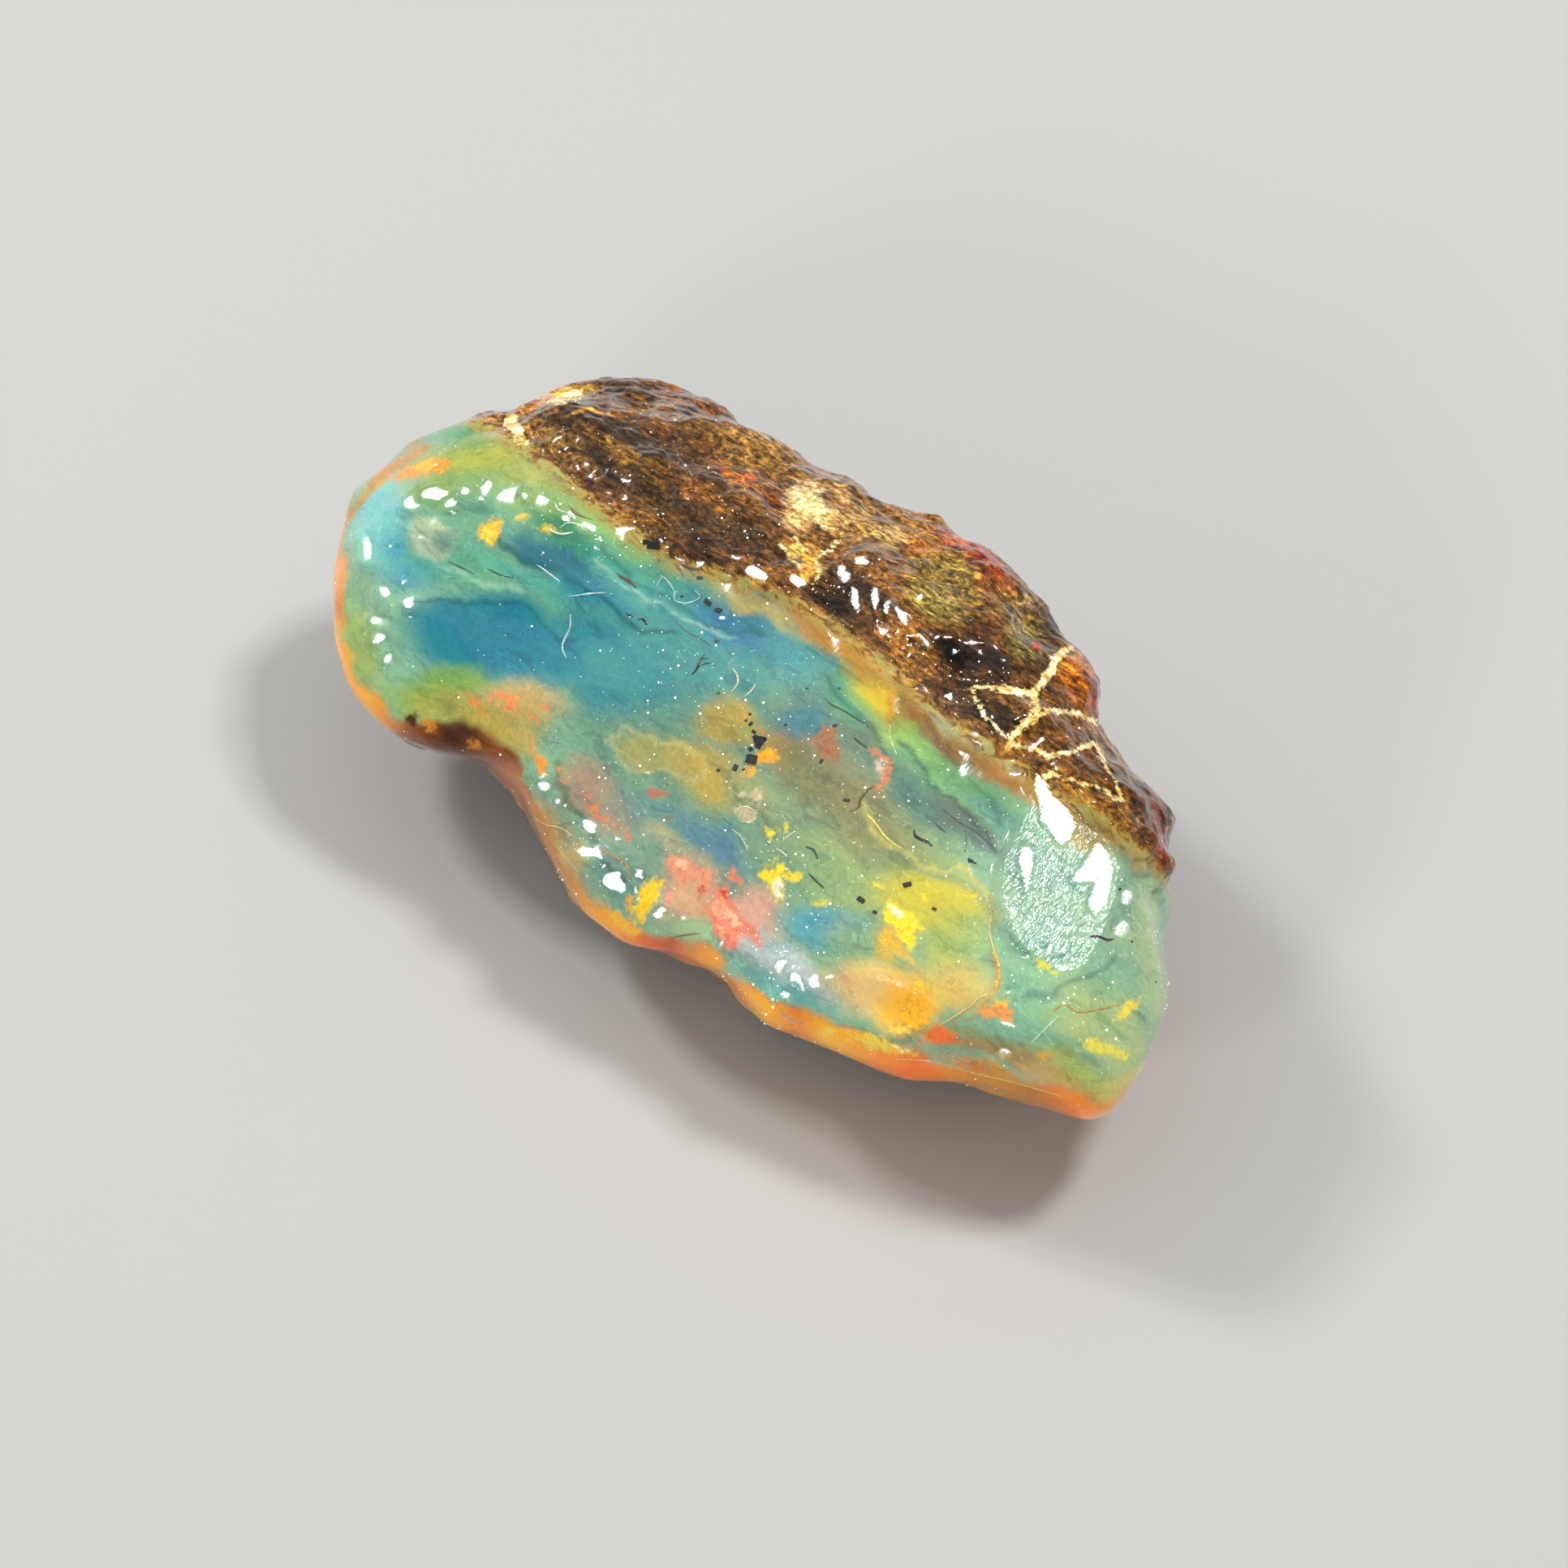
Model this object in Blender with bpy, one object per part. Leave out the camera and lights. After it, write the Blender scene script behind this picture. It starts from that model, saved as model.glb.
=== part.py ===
"""A raw piece of blue amber, lying on its flat side.

The stone is one solid, because it set as one lump of resin. It is described the way a carver would
copy it: its outline as seen from one chosen side, how thick it is behind that outline, the broad
faces that broke or wore off it, and then the lumps, lips and hollows that stand on those faces.
A ball of many small faces is drawn out to that shape, thinned where it is even, and cut flat below.
"""

import math

import bmesh
import bpy
from mathutils import Vector, noise

MM = 0.001  # metres in a millimetre. Every size below is in millimetres

# The side that the stone is described from: round from -Y towards +X, up from the ground, and how far off
VIEW_AZIMUTH = math.radians(44)
VIEW_ELEVATION = math.radians(50)
VIEW_DISTANCE = 326

# The outline from that side, in millimetres right of and above the stone's middle, clockwise from the left
OUTLINE = [
    (-22.2, 6.5), (-21.9, 8.5), (-21.0, 12.0), (-19.1, 13.6), (-17.2, 14.7), (-15.1, 15.7),  # left end
    (-12.5, 16.3), (-10.9, 17.1), (-8.8, 17.7), (-6.6, 17.7), (-4.5, 17.3), (-2.9, 16.4),  # rear lobe
    (-0.9, 15.1), (0.7, 14.5), (3.2, 13.1), (5.5, 11.6), (8.4, 10.7), (10.7, 8.5),  # crust, with its saddle
    (13.2, 6.3), (14.6, 4.1), (15.7, 2.0), (16.0, -0.4), (18.3, -2.0), (20.3, -4.2),  # crust's far shoulder
    (20.0, -6.7), (19.4, -10.8), (19.5, -12.6), (19.4, -14.4), (18.5, -17.3), (17.0, -19.1),  # right end
    (15.5, -19.5), (13.6, -18.8), (12.2, -18.4), (9.2, -17.7), (6.8, -17.6), (4.5, -16.6),  # lower tip
    (2.4, -15.8), (-0.2, -14.8), (-1.1, -13.8), (-2.2, -12.4), (-4.5, -11.3), (-7.2, -10.8),  # lower edge
    (-9.3, -9.2), (-10.6, -7.3), (-12.0, -4.8), (-12.9, -2.8), (-14.3, -1.5), (-16.1, -1.3),  # notch
    (-18.3, -0.7), (-19.9, 0.8), (-21.2, 2.2), (-22.0, 4.5),
]
OUTLINE_STEPS = 720  # directions in which the outline's reach is looked up
OUTLINE_ROUNDING = 2  # steps to either side that are averaged, which rounds the corners

# The body behind the outline
HALF_DEPTH = 12.0  # from the plane of the outline to the front, and to the back
RIM_SLOPE_RIGHT = 0.187  # how much nearer the rim lies for each millimetre to the right
RIM_SLOPE_UP = -0.388  # and for each millimetre up
MIDDLE_HEIGHT = 9.8  # the middle's height over the ground, once the flat side is cut

# Broad faces: the way each looks, how far it lies from the middle, and how softly it meets its neighbours
NEAR_FACES = {
    "window": ((0.02, -0.68, 0.73), 7.6, 2.5),
    "crust_top": ((-0.05, 0.33, 0.94), 9.5, 3.0),
    "glassy_end": ((0.12, -0.38, 0.91), 7.8, 1.2),
    "lower_bevel": ((0.10, -0.90, 0.42), 11.2, 2.0),
}
FAR_FACES = {
    "back_wall": ((0.10, 0.92, -0.38), 11.0, 3.0),
    "left_keel": ((-0.75, 0.35, -0.56), 17.0, 4.0),
    "right_keel": ((0.50, 0.50, -0.70), 17.0, 4.0),
    "belly": ((-0.05, -0.50, -0.86), 11.8, 3.0),
}

# The lobe behind the left end starts at a step that runs along this line
REAR_LOBE_LEFT, REAR_LOBE_RIGHT = (-12.6, 16.25), (-0.8, 15.0)
REAR_LOBE_SET_BACK = 3.8
REAR_LOBE_STEP = 0.7  # width of the step
REAR_LOBE_FADE = 2.5  # the step fades out over this length at either end

# Where the crust ends and the clear window begins, from the left end to the right end
CRUST_EDGE = [
    (-24.0, 19.5), (-14.5, 15.0), (-11.8, 12.6), (-7.8, 10.0), (-4.9, 8.7), (-2.1, 7.7), (0.3, 6.6),
    (3.2, 4.4), (6.0, 1.6), (9.2, -1.4), (12.9, -2.8), (15.3, -4.1), (18.1, -6.2), (21.0, -9.0),
]
CRUST_EDGE_BLEND = 1.6  # width over which crust gives way to clear resin
LIP_HEIGHT = 0.55  # the rounded lip that runs along that edge
LIP_WIDTH = 0.9
LIP_FROM, LIP_FULL_AT = -10.0, -3.0  # it rises out of the even surface between these, from left to right
LEDGE_DEPTH = 0.7  # the window lies lower than the lip by this much
LEDGE_WIDTH = 2.2

# Lumps and hollows on the near side: right, up, half length, half width, turn in degrees, height
LUMPS = [
    (5.0, 7.2, 2.6, 1.7, -38, 0.9),  # glossy crust boss
    (2.6, 11.0, 1.8, 1.4, -30, 0.7),  # pale boss at the saddle
    (-1.5, 10.6, 3.6, 1.3, -35, 0.6),
    (-6.8, 13.4, 3.4, 1.5, -25, 0.6),
    (10.4, 6.6, 2.6, 2.0, -45, 0.8),
    (15.0, 2.2, 1.5, 1.8, -60, 0.7),  # amber-coloured knob at the shoulder
    (11.6, 0.6, 1.6, 1.1, -10, 0.7),  # plates between the pale veins
    (14.0, -0.4, 1.7, 0.9, 10, 0.6),
    (16.4, -3.6, 2.3, 1.0, -38, 0.5),
    (-17.1, 9.8, 1.2, 1.1, 0, 0.5),  # the dome in the left end
    (-18.2, 11.4, 1.6, 0.8, 35, 0.5),
    (-15.6, 11.6, 1.2, 0.8, 10, 0.4),
    (-20.2, 9.2, 0.7, 1.5, 0, 0.4),
    (-18.8, 5.8, 0.8, 1.5, 10, 0.4),
    (-11.2, -2.6, 1.5, 0.9, -60, 0.5),  # beads along the lower edge
    (-8.6, -6.6, 1.5, 1.1, -60, 0.6),
    (-5.4, -8.9, 1.7, 1.0, -20, 0.5),
    (-2.0, -10.4, 1.6, 0.9, -25, 0.4),
    (1.2, -12.6, 1.6, 1.1, -30, 0.5),
    (-12.4, 1.6, 2.2, 1.0, -30, 0.3),
    (18.0, -9.4, 0.9, 1.8, 0, 0.4),
    (17.6, -13.4, 1.1, 2.0, -20, 0.4),
    (-9.8, 5.0, 4.6, 1.9, -12, -0.5),  # dish of the blue pool
    (-5.4, 7.0, 3.6, 0.6, -28, -0.45),  # furrows over it
    (-9.6, 8.4, 3.2, 0.6, -32, -0.35),
    (9.3, 3.5, 1.4, 0.6, -12, -1.1),  # dark cavity in the crust
    (12.6, -1.0, 2.0, 0.35, 28, -0.5),  # cracks between the plates
    (12.8, 1.6, 2.2, 0.35, 25, -0.5),
    (-20.9, 6.6, 0.9, 0.9, 0, -0.6),  # amber dimple at the left end
    (7.6, -9.6, 3.6, 2.6, -35, -0.55),  # shell-shaped break
    (4.6, -13.4, 3.2, 1.1, -12, -0.5),
    (13.4, -16.0, 3.4, 1.2, -20, -0.45),
    (0.2, -1.6, 4.2, 1.6, -30, -0.3),
]

# General unevenness: size of the swells and how far they stand out
CRUST_SWELL, CRUST_SWELL_HEIGHT = 5.5, 0.6
CRUST_KNOBS, CRUST_KNOB_HEIGHT = 2.6, 0.24
WINDOW_SWELL, WINDOW_SWELL_HEIGHT = 6.0, 0.35
SWELL_ROUGHNESS, SWELL_STEP, SWELL_LAYERS = 0.9, 2.1, 3  # finer swells lie on the broad ones
FAR_SIDE = 0.25  # how far round the rim the crust takes over, as a share of the half depth

SPHERE_LEVEL = 7  # the ball that the stone is drawn from
KEPT_FACES = 0.112  # share of its faces that stay
FLAT_CUT_WIDTH, FLAT_CUT_DEPTH = 100, 20  # the block that cuts the flat side
NEARLY_NOTHING = 1e-9  # two lines that turn from each other by less are alike


def view_axes():
    """The directions right, up and towards the viewer."""
    towards = Vector((
        math.sin(VIEW_AZIMUTH) * math.cos(VIEW_ELEVATION),
        -math.cos(VIEW_AZIMUTH) * math.cos(VIEW_ELEVATION),
        math.sin(VIEW_ELEVATION),
    ))
    right = Vector((math.cos(VIEW_AZIMUTH), math.sin(VIEW_AZIMUTH), 0))
    return right, towards.cross(right), towards


RIGHT, UP, TOWARDS = view_axes()


def smooth_step(value):
    """0 below 0, 1 above 1, and an even turn between them."""
    t = min(max(value, 0.0), 1.0)
    return t * t * (3 - 2 * t)


def soft_min(a, b, softness):
    """The lesser of two depths, with the corner between them rounded."""
    overlap = max(softness - abs(a - b), 0.0) / softness
    return min(a, b) - overlap * overlap * softness / 4


def soft_max(a, b, softness):
    return -soft_min(-a, -b, softness)


def along(points, x):
    """The height of a line of points at x."""
    for (x0, y0), (x1, y1) in zip(points, points[1:]):
        if x <= x1:
            share = min(max((x - x0) / (x1 - x0), 0.0), 1.0)
            return y0 + (y1 - y0) * smooth_step(share)
    return points[-1][1]


def outline_reach():
    """How far the outline lies from the middle in each of OUTLINE_STEPS directions."""
    reach = []
    for step in range(OUTLINE_STEPS):
        angle = 2 * math.pi * step / OUTLINE_STEPS
        x, y = math.cos(angle), math.sin(angle)
        furthest = 0.0
        for (x0, y0), (x1, y1) in zip(OUTLINE, OUTLINE[1:] + OUTLINE[:1]):
            across = x * (y1 - y0) - y * (x1 - x0)
            if abs(across) < NEARLY_NOTHING:
                continue
            place = (y * x0 - x * y0) / across
            distance = (x0 * (y1 - y0) - y0 * (x1 - x0)) / across
            if 0 <= place <= 1 and distance > furthest:
                furthest = distance
        reach.append(furthest)
    span = range(-OUTLINE_ROUNDING, OUTLINE_ROUNDING + 1)
    return [sum(reach[(i + s) % OUTLINE_STEPS] for s in span) / len(span) for i in range(OUTLINE_STEPS)]


REACH = outline_reach()


def reach_towards(angle):
    """The outline's distance from the middle in one direction."""
    place = (angle / (2 * math.pi)) % 1.0 * OUTLINE_STEPS
    low = int(place)
    share = place - low
    return REACH[low % OUTLINE_STEPS] * (1 - share) + REACH[(low + 1) % OUTLINE_STEPS] * share


def face_depth(normal, distance, right, up):
    """The depth, towards the viewer, at which a broad face lies at a point of the view."""
    normal = Vector(normal).normalized()
    return (distance - normal.dot(RIGHT) * right - normal.dot(UP) * up) / normal.dot(TOWARDS)


def rear_lobe_step(right, up):
    """0 in front of the rear lobe and 1 on it."""
    (x0, y0), (x1, y1) = REAR_LOBE_LEFT, REAR_LOBE_RIGHT
    line = y0 + (y1 - y0) * (right - x0) / (x1 - x0)
    ends = smooth_step((right - x0) / REAR_LOBE_FADE) * smooth_step((x1 - right) / REAR_LOBE_FADE)
    return ends * smooth_step((up - line) / REAR_LOBE_STEP)


def body_point(ball):
    """Where a point of the unit ball lands on the body, in the view's own directions: right, up, towards."""
    angle = math.atan2(ball.y, ball.x)
    reach = reach_towards(angle) * math.hypot(ball.x, ball.y)
    right, up = reach * math.cos(angle), reach * math.sin(angle)
    depth = RIM_SLOPE_RIGHT * right + RIM_SLOPE_UP * up + HALF_DEPTH * ball.z
    depth -= REAR_LOBE_SET_BACK * rear_lobe_step(right, up)
    for normal, distance, softness in NEAR_FACES.values():
        depth = soft_min(depth, face_depth(normal, distance, right, up), softness)
    for normal, distance, softness in FAR_FACES.values():
        depth = soft_max(depth, face_depth(normal, distance, right, up), softness)
    closeness = 1 - depth / VIEW_DISTANCE  # what lies nearer looks larger
    return Vector((right * closeness, up * closeness, depth))


def in_room(place):
    """A point in the view's directions, as a point over the ground."""
    return RIGHT * place.x + UP * place.y + TOWARDS * place.z + Vector((0, 0, MIDDLE_HEIGHT))


def relief(place, ball):
    """How far the surface stands out at a point of the body, in millimetres."""
    right, up = place.x, place.y
    near = smooth_step(ball.z / FAR_SIDE + 0.5)
    over_edge = up - along(CRUST_EDGE, right)
    crust = 1 - near * (1 - smooth_step(over_edge / CRUST_EDGE_BLEND + 0.5))
    spot = in_room(place)
    swell = noise.fractal(spot / CRUST_SWELL, SWELL_ROUGHNESS, SWELL_STEP, SWELL_LAYERS) * CRUST_SWELL_HEIGHT
    knobs = (0.5 - noise.voronoi(spot / CRUST_KNOBS)[0][0]) * 2 * CRUST_KNOB_HEIGHT
    calm = noise.noise(spot / WINDOW_SWELL) * WINDOW_SWELL_HEIGHT
    height = crust * (swell + knobs) + (1 - crust) * calm
    risen = near * smooth_step((right - LIP_FROM) / (LIP_FULL_AT - LIP_FROM))
    height += risen * LIP_HEIGHT * math.exp(-((over_edge - LIP_WIDTH / 2) / LIP_WIDTH) ** 2)
    height -= risen * LEDGE_DEPTH * math.exp(-((over_edge + LEDGE_WIDTH) / LEDGE_WIDTH) ** 2)
    for x, y, half_length, half_width, turn, rise in LUMPS:
        turn = math.radians(turn)
        dx, dy = right - x, up - y
        lengthways = (dx * math.cos(turn) + dy * math.sin(turn)) / half_length
        crossways = (dy * math.cos(turn) - dx * math.sin(turn)) / half_width
        height += near * rise * math.exp(-(lengthways**2 + crossways**2))
    return height


def amber_material():
    """Worn amber with a blue-green bloom."""
    material = bpy.data.materials.new("blue_amber")
    material.use_nodes = True
    shader = material.node_tree.nodes["Principled BSDF"]
    shader.inputs["Base Color"].default_value = (0.10, 0.33, 0.26, 1)
    shader.inputs["Roughness"].default_value = 0.12
    shader.inputs["Metallic"].default_value = 0.0
    shader.inputs["IOR"].default_value = 1.54
    return material


def make_stone(collection):
    """The stone, drawn out of a ball: each point goes to its place on the body, then out by the relief."""
    bm = bmesh.new()
    bmesh.ops.create_icosphere(bm, subdivisions=SPHERE_LEVEL, radius=1)
    balls = [v.co.copy() for v in bm.verts]
    places = [body_point(ball) for ball in balls]
    for vertex, place in zip(bm.verts, places):
        vertex.co = in_room(place)
    bm.normal_update()
    heights = [relief(place, ball) for place, ball in zip(places, balls)]
    for vertex, height in zip(bm.verts, heights):
        vertex.co += vertex.normal * height
    lows = [min(v.co[i] for v in bm.verts) for i in range(2)]
    highs = [max(v.co[i] for v in bm.verts) for i in range(2)]
    middle = Vector(((lows[0] + highs[0]) / 2, (lows[1] + highs[1]) / 2, 0))
    for vertex in bm.verts:
        vertex.co = (vertex.co - middle) * MM
    print("the stone's middle, in mm:", [round(c, 2) for c in (-middle.x, -middle.y, MIDDLE_HEIGHT)])
    mesh = bpy.data.meshes.new("amber")
    bm.to_mesh(mesh)
    bm.free()
    mesh.shade_smooth()
    mesh.materials.append(amber_material())
    stone = bpy.data.objects.new("amber", mesh)
    collection.objects.link(stone)
    return stone


def make_flat_cutter(collection):
    """The block whose top is the ground, which takes off all that would lie below it."""
    bpy.ops.mesh.primitive_cube_add(size=1)
    block = bpy.context.object
    block.name = "flat_cutter"
    block.scale = (FLAT_CUT_WIDTH * MM, FLAT_CUT_WIDTH * MM, FLAT_CUT_DEPTH * MM)
    block.location.z = -FLAT_CUT_DEPTH / 2 * MM
    block.hide_render = True
    block.display_type = "WIRE"
    for owner in list(block.users_collection):
        owner.objects.unlink(block)
    collection.objects.link(block)
    return block


def finish_stone(stone, block):
    """Thins the mesh out where the stone is even, and cuts its flat side."""
    thin = stone.modifiers.new("even_parts_in_fewer_faces", "DECIMATE")
    thin.ratio = KEPT_FACES
    flat = stone.modifiers.new("flat_side", "BOOLEAN")
    flat.operation = "DIFFERENCE"
    flat.solver = "EXACT"
    flat.object = block


def main():
    for old in list(bpy.data.objects):
        bpy.data.objects.remove(old)
    parts = bpy.data.collections.new("blue_amber")
    cutters = bpy.data.collections.new("cutters")
    for collection in (parts, cutters):
        bpy.context.scene.collection.children.link(collection)
    finish_stone(make_stone(parts), make_flat_cutter(cutters))


main()
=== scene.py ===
# %% [markdown]
# # A raw piece of blue amber
# Amber is the resin of old trees, turned hard in the ground. This piece is clear and milky by
# turns, blue and green on top, orange where light comes through its edges, and it keeps a dark
# crust along its back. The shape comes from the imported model, called the frame here. This script
# gives that shape its fine relief, its colours and its gloss, and puts in the crumbs, threads and
# bubbles that the resin caught.

# %% Load the frame
import math

import bmesh
import bpy
import numpy as np
from mathutils import Matrix, Vector, noise
from mathutils.bvhtree import BVHTree


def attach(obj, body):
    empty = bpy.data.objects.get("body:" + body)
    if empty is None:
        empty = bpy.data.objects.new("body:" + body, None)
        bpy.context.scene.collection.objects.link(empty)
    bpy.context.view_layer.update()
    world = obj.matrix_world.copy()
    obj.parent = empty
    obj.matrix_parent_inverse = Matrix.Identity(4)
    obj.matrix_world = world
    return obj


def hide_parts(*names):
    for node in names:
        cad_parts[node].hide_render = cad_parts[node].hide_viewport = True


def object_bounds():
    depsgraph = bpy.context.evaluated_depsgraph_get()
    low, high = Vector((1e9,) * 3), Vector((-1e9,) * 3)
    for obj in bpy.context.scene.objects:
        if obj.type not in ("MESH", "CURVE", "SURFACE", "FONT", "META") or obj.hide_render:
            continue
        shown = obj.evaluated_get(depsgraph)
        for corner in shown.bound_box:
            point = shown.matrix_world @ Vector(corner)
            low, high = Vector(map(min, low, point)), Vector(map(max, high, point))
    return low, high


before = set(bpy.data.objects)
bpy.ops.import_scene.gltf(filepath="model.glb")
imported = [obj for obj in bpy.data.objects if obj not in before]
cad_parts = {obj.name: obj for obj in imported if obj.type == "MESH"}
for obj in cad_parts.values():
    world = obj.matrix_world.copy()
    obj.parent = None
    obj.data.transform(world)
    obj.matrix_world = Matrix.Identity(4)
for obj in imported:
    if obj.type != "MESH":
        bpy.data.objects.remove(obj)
frame_low, frame_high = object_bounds()
MM = 0.001
box_low, box_high = np.array(frame_low) / MM, np.array(frame_high) / MM
print("the frame's box, in mm:", [round(side / MM, 1) for side in frame_high - frame_low])

# %% [markdown]
# ## A few small helpers
# Colours are written the way a paint chart writes them, as sRGB hex values, and Blender's shaders
# want linear light, so one function turns one into the other. Another adds a node to a tree, with
# its settings and what feeds it, which keeps the materials below short enough to read. The rest
# take up steps that every piece needs: a mesh, an object and a material.


# %% Colours
def linear(hex_colour):
    """A hex colour such as "#2C869A" as linear red, green, blue and alpha."""
    channels = [int(hex_colour[i:i + 2], 16) / 255 for i in (1, 3, 5)]
    return (*[c / 12.92 if c <= 0.04045 else ((c + 0.055) / 1.055) ** 2.4 for c in channels], 1.0)


def rgb(hex_colour):
    """The same without the alpha, as an array, for mixing."""
    return np.array(linear(hex_colour)[:3])


def lay_over(colours, over, cover):
    """Lays a colour, or one for each point, over others. Its cover goes from 0, none, to 1, all."""
    colours += (over - colours) * cover[:, None]


print("half grey, #808080, is", round(linear("#808080")[0], 2), "in linear light")


# %% Nodes and materials
def feed(tree, fed, inputs):
    """Sets a node's sockets, by name or number, each to a value or to the output that feeds it."""
    for key, value in inputs.items():
        if isinstance(value, bpy.types.NodeSocket):
            tree.links.new(value, fed.inputs[key])
        else:
            fed.inputs[key].default_value = value


def node(tree, kind, inputs=(), stops=(), **settings):
    """Adds a node with its settings and sockets, and a colour ramp's (place, hex colour) stops."""
    made = tree.nodes.new(kind)
    for name, value in settings.items():
        setattr(made, name, value)
    for place, _ in stops[1:-1]:
        made.color_ramp.elements.new(place)
    for i, (place, colour) in enumerate(stops):
        made.color_ramp.elements[i].position = place
        made.color_ramp.elements[i].color = linear(colour)
    feed(tree, made, dict(inputs))
    return made


def start_material(name):
    """A new material, and its node tree with a Principled BSDF node in it."""
    material = bpy.data.materials.new(name)
    material.use_nodes = True
    return material, material.node_tree


print("materials that came with the frame:", len(bpy.data.materials))


# %% Meshes and objects
def finish_mesh(bm, name):
    """Turns a mesh that was being edited into mesh data."""
    mesh = bpy.data.meshes.new(name)
    bm.to_mesh(mesh)
    bm.free()
    return mesh


def add_to_scene(name, data):
    """Makes an object of a mesh, a lamp or a camera, and puts it into the scene."""
    made = bpy.data.objects.new(name, data)
    bpy.context.scene.collection.objects.link(made)
    return made


def apply_modifiers(piece):
    """Turns what the piece's modifiers show into its own plain mesh."""
    seen = piece.evaluated_get(bpy.context.evaluated_depsgraph_get())
    piece.data = bpy.data.meshes.new_from_object(seen)
    piece.modifiers.clear()


# %% [markdown]
# ## The camera
# The stone was photographed from above its long side with a long lens, so it shows little
# perspective. Everything that is placed below is placed by its pixel in that photograph,
# which is 1932 pixels wide and high. So the camera comes first.

# %% The directions of the view
VIEW_AZIMUTH = math.radians(44)
VIEW_ELEVATION = math.radians(50)
TOWARDS = Vector((
    math.sin(VIEW_AZIMUTH) * math.cos(VIEW_ELEVATION),
    -math.cos(VIEW_AZIMUTH) * math.cos(VIEW_ELEVATION),
    math.sin(VIEW_ELEVATION),
))
RIGHT = Vector((math.cos(VIEW_AZIMUTH), math.sin(VIEW_AZIMUTH), 0))
UP = TOWARDS.cross(RIGHT)


def in_picture(degrees):
    """The direction in the picture's plane that lies so many degrees up from its right."""
    angle = math.radians(degrees)
    return RIGHT * math.cos(angle) + UP * math.sin(angle)


print("towards the viewer:", [round(c, 2) for c in TOWARDS])

# %% Set up the camera
PHOTO_SIZE = 1932  # pixels
LENS, SENSOR = 150, 36  # mm
DISTANCE = 326  # mm
STONE_MIDDLE = Vector((-0.56, -0.25, 9.8))  # mm, as the part's source prints it
MIDDLE_PIXEL = (952, 901)  # where that point shows in the photograph
PIXELS_PER_MM = LENS / SENSOR * PHOTO_SIZE / DISTANCE

aim = STONE_MIDDLE + RIGHT * (PHOTO_SIZE / 2 - MIDDLE_PIXEL[0]) / PIXELS_PER_MM
aim -= UP * (PHOTO_SIZE / 2 - MIDDLE_PIXEL[1]) / PIXELS_PER_MM
camera_place = aim + TOWARDS * DISTANCE
camera_data = bpy.data.cameras.new("camera")
camera_data.lens = LENS
camera_data.sensor_width = SENSOR
camera_data.clip_start = 0.01
camera = add_to_scene("camera", camera_data)
turn = Matrix((RIGHT, UP, TOWARDS)).transposed()
camera.matrix_world = Matrix.Translation(camera_place * MM) @ turn.to_4x4()
bpy.context.scene.camera = camera
print("pixels of the photograph to a millimetre:", round(PIXELS_PER_MM, 1))

# %% [markdown]
# ## The stone's body
# The frame's solid has about nine thousand flat faces, which is right for its form but shows as
# facets. A voxel remesh lays an even grid of small faces over it, and a little smoothing takes the
# facets out. The side with the detail is then split once more, so the beads and colours there have
# points enough. Sculpting by hand would do it too, but this way every run gives the same stone.

# %% Lay an even skin over the frame's solid
VOXEL = 0.35  # mm

bm = bmesh.new()
bm.from_mesh(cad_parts["amber"].data)
bmesh.ops.remove_doubles(bm, verts=bm.verts, dist=VOXEL * MM / 100)  # joins its loose triangles
stone = add_to_scene("amber_stone", finish_mesh(bm, "amber_stone"))
skin = stone.modifiers.new("even_skin", "REMESH")
skin.mode = "VOXEL"
skin.voxel_size = VOXEL * MM
apply_modifiers(stone)
print("faces in the even skin:", len(stone.data.polygons))

# %% Split the side with the detail, and soften the skin
FINE_FROM = -0.05  # faces that turn away from the viewer by more than this stay coarse
SMOOTHING = 6  # passes

bm = bmesh.new()
bm.from_mesh(stone.data)
bm.normal_update()
shown = [face for face in bm.faces if face.normal.dot(TOWARDS) > FINE_FROM]
edges = {edge for face in shown for edge in face.edges}
bmesh.ops.subdivide_edges(bm, edges=list(edges), cuts=1, use_grid_fill=True)
bmesh.ops.triangulate(bm, faces=[face for face in bm.faces if len(face.verts) > 4])
bm.to_mesh(stone.data)
bm.free()
soften = stone.modifiers.new("soften", "SMOOTH")
soften.iterations = SMOOTHING
apply_modifiers(stone)
print("triangles in the skin:", sum(len(face.vertices) - 2 for face in stone.data.polygons))

# %% [markdown]
# ## Where things are on the stone
# Two measures of each point serve everything below. One is the pixel at which the point shows in
# the photograph. The other is how deep it lies in the crust, in millimetres: above 0 it is crust,
# below 0 it is clear resin. The crust begins along a line that was read off the photograph, and
# it covers the side that the photograph doesn't show, except round the thin clear end.

# %% Measure the skin
RIM_SLOPE_RIGHT, RIM_SLOPE_UP = 0.187, -0.388  # how the stone's rim leans towards the viewer
RIM_FADE_DEPTH = 2  # mm in which the side that shows gives way to the far side


def read_points(mesh):
    """Points and normals of a mesh, the points in millimetres."""
    points = np.empty(len(mesh.vertices) * 3)
    normals = np.empty(len(mesh.vertices) * 3)
    mesh.vertices.foreach_get("co", points)
    mesh.vertices.foreach_get("normal", normals)
    return points.reshape(-1, 3) / MM, normals.reshape(-1, 3)


def smooth_step(values):
    """0 below 0, 1 above 1, and an even turn between them."""
    t = np.clip(values, 0, 1)
    return t * t * (3 - 2 * t)


def measure(points):
    """The pixels at which points, in mm, show, and how many mm they lie in front of the rim."""
    from_middle = points - np.array(STONE_MIDDLE)
    right, up, depth = (from_middle @ np.array(axis) for axis in (RIGHT, UP, TOWARDS))
    scale = PIXELS_PER_MM / (1 - depth / DISTANCE)
    pixels = np.stack([MIDDLE_PIXEL[0] + right * scale, MIDDLE_PIXEL[1] - up * scale], axis=1)
    return pixels, depth - RIM_SLOPE_RIGHT * right - RIM_SLOPE_UP * up


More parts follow.
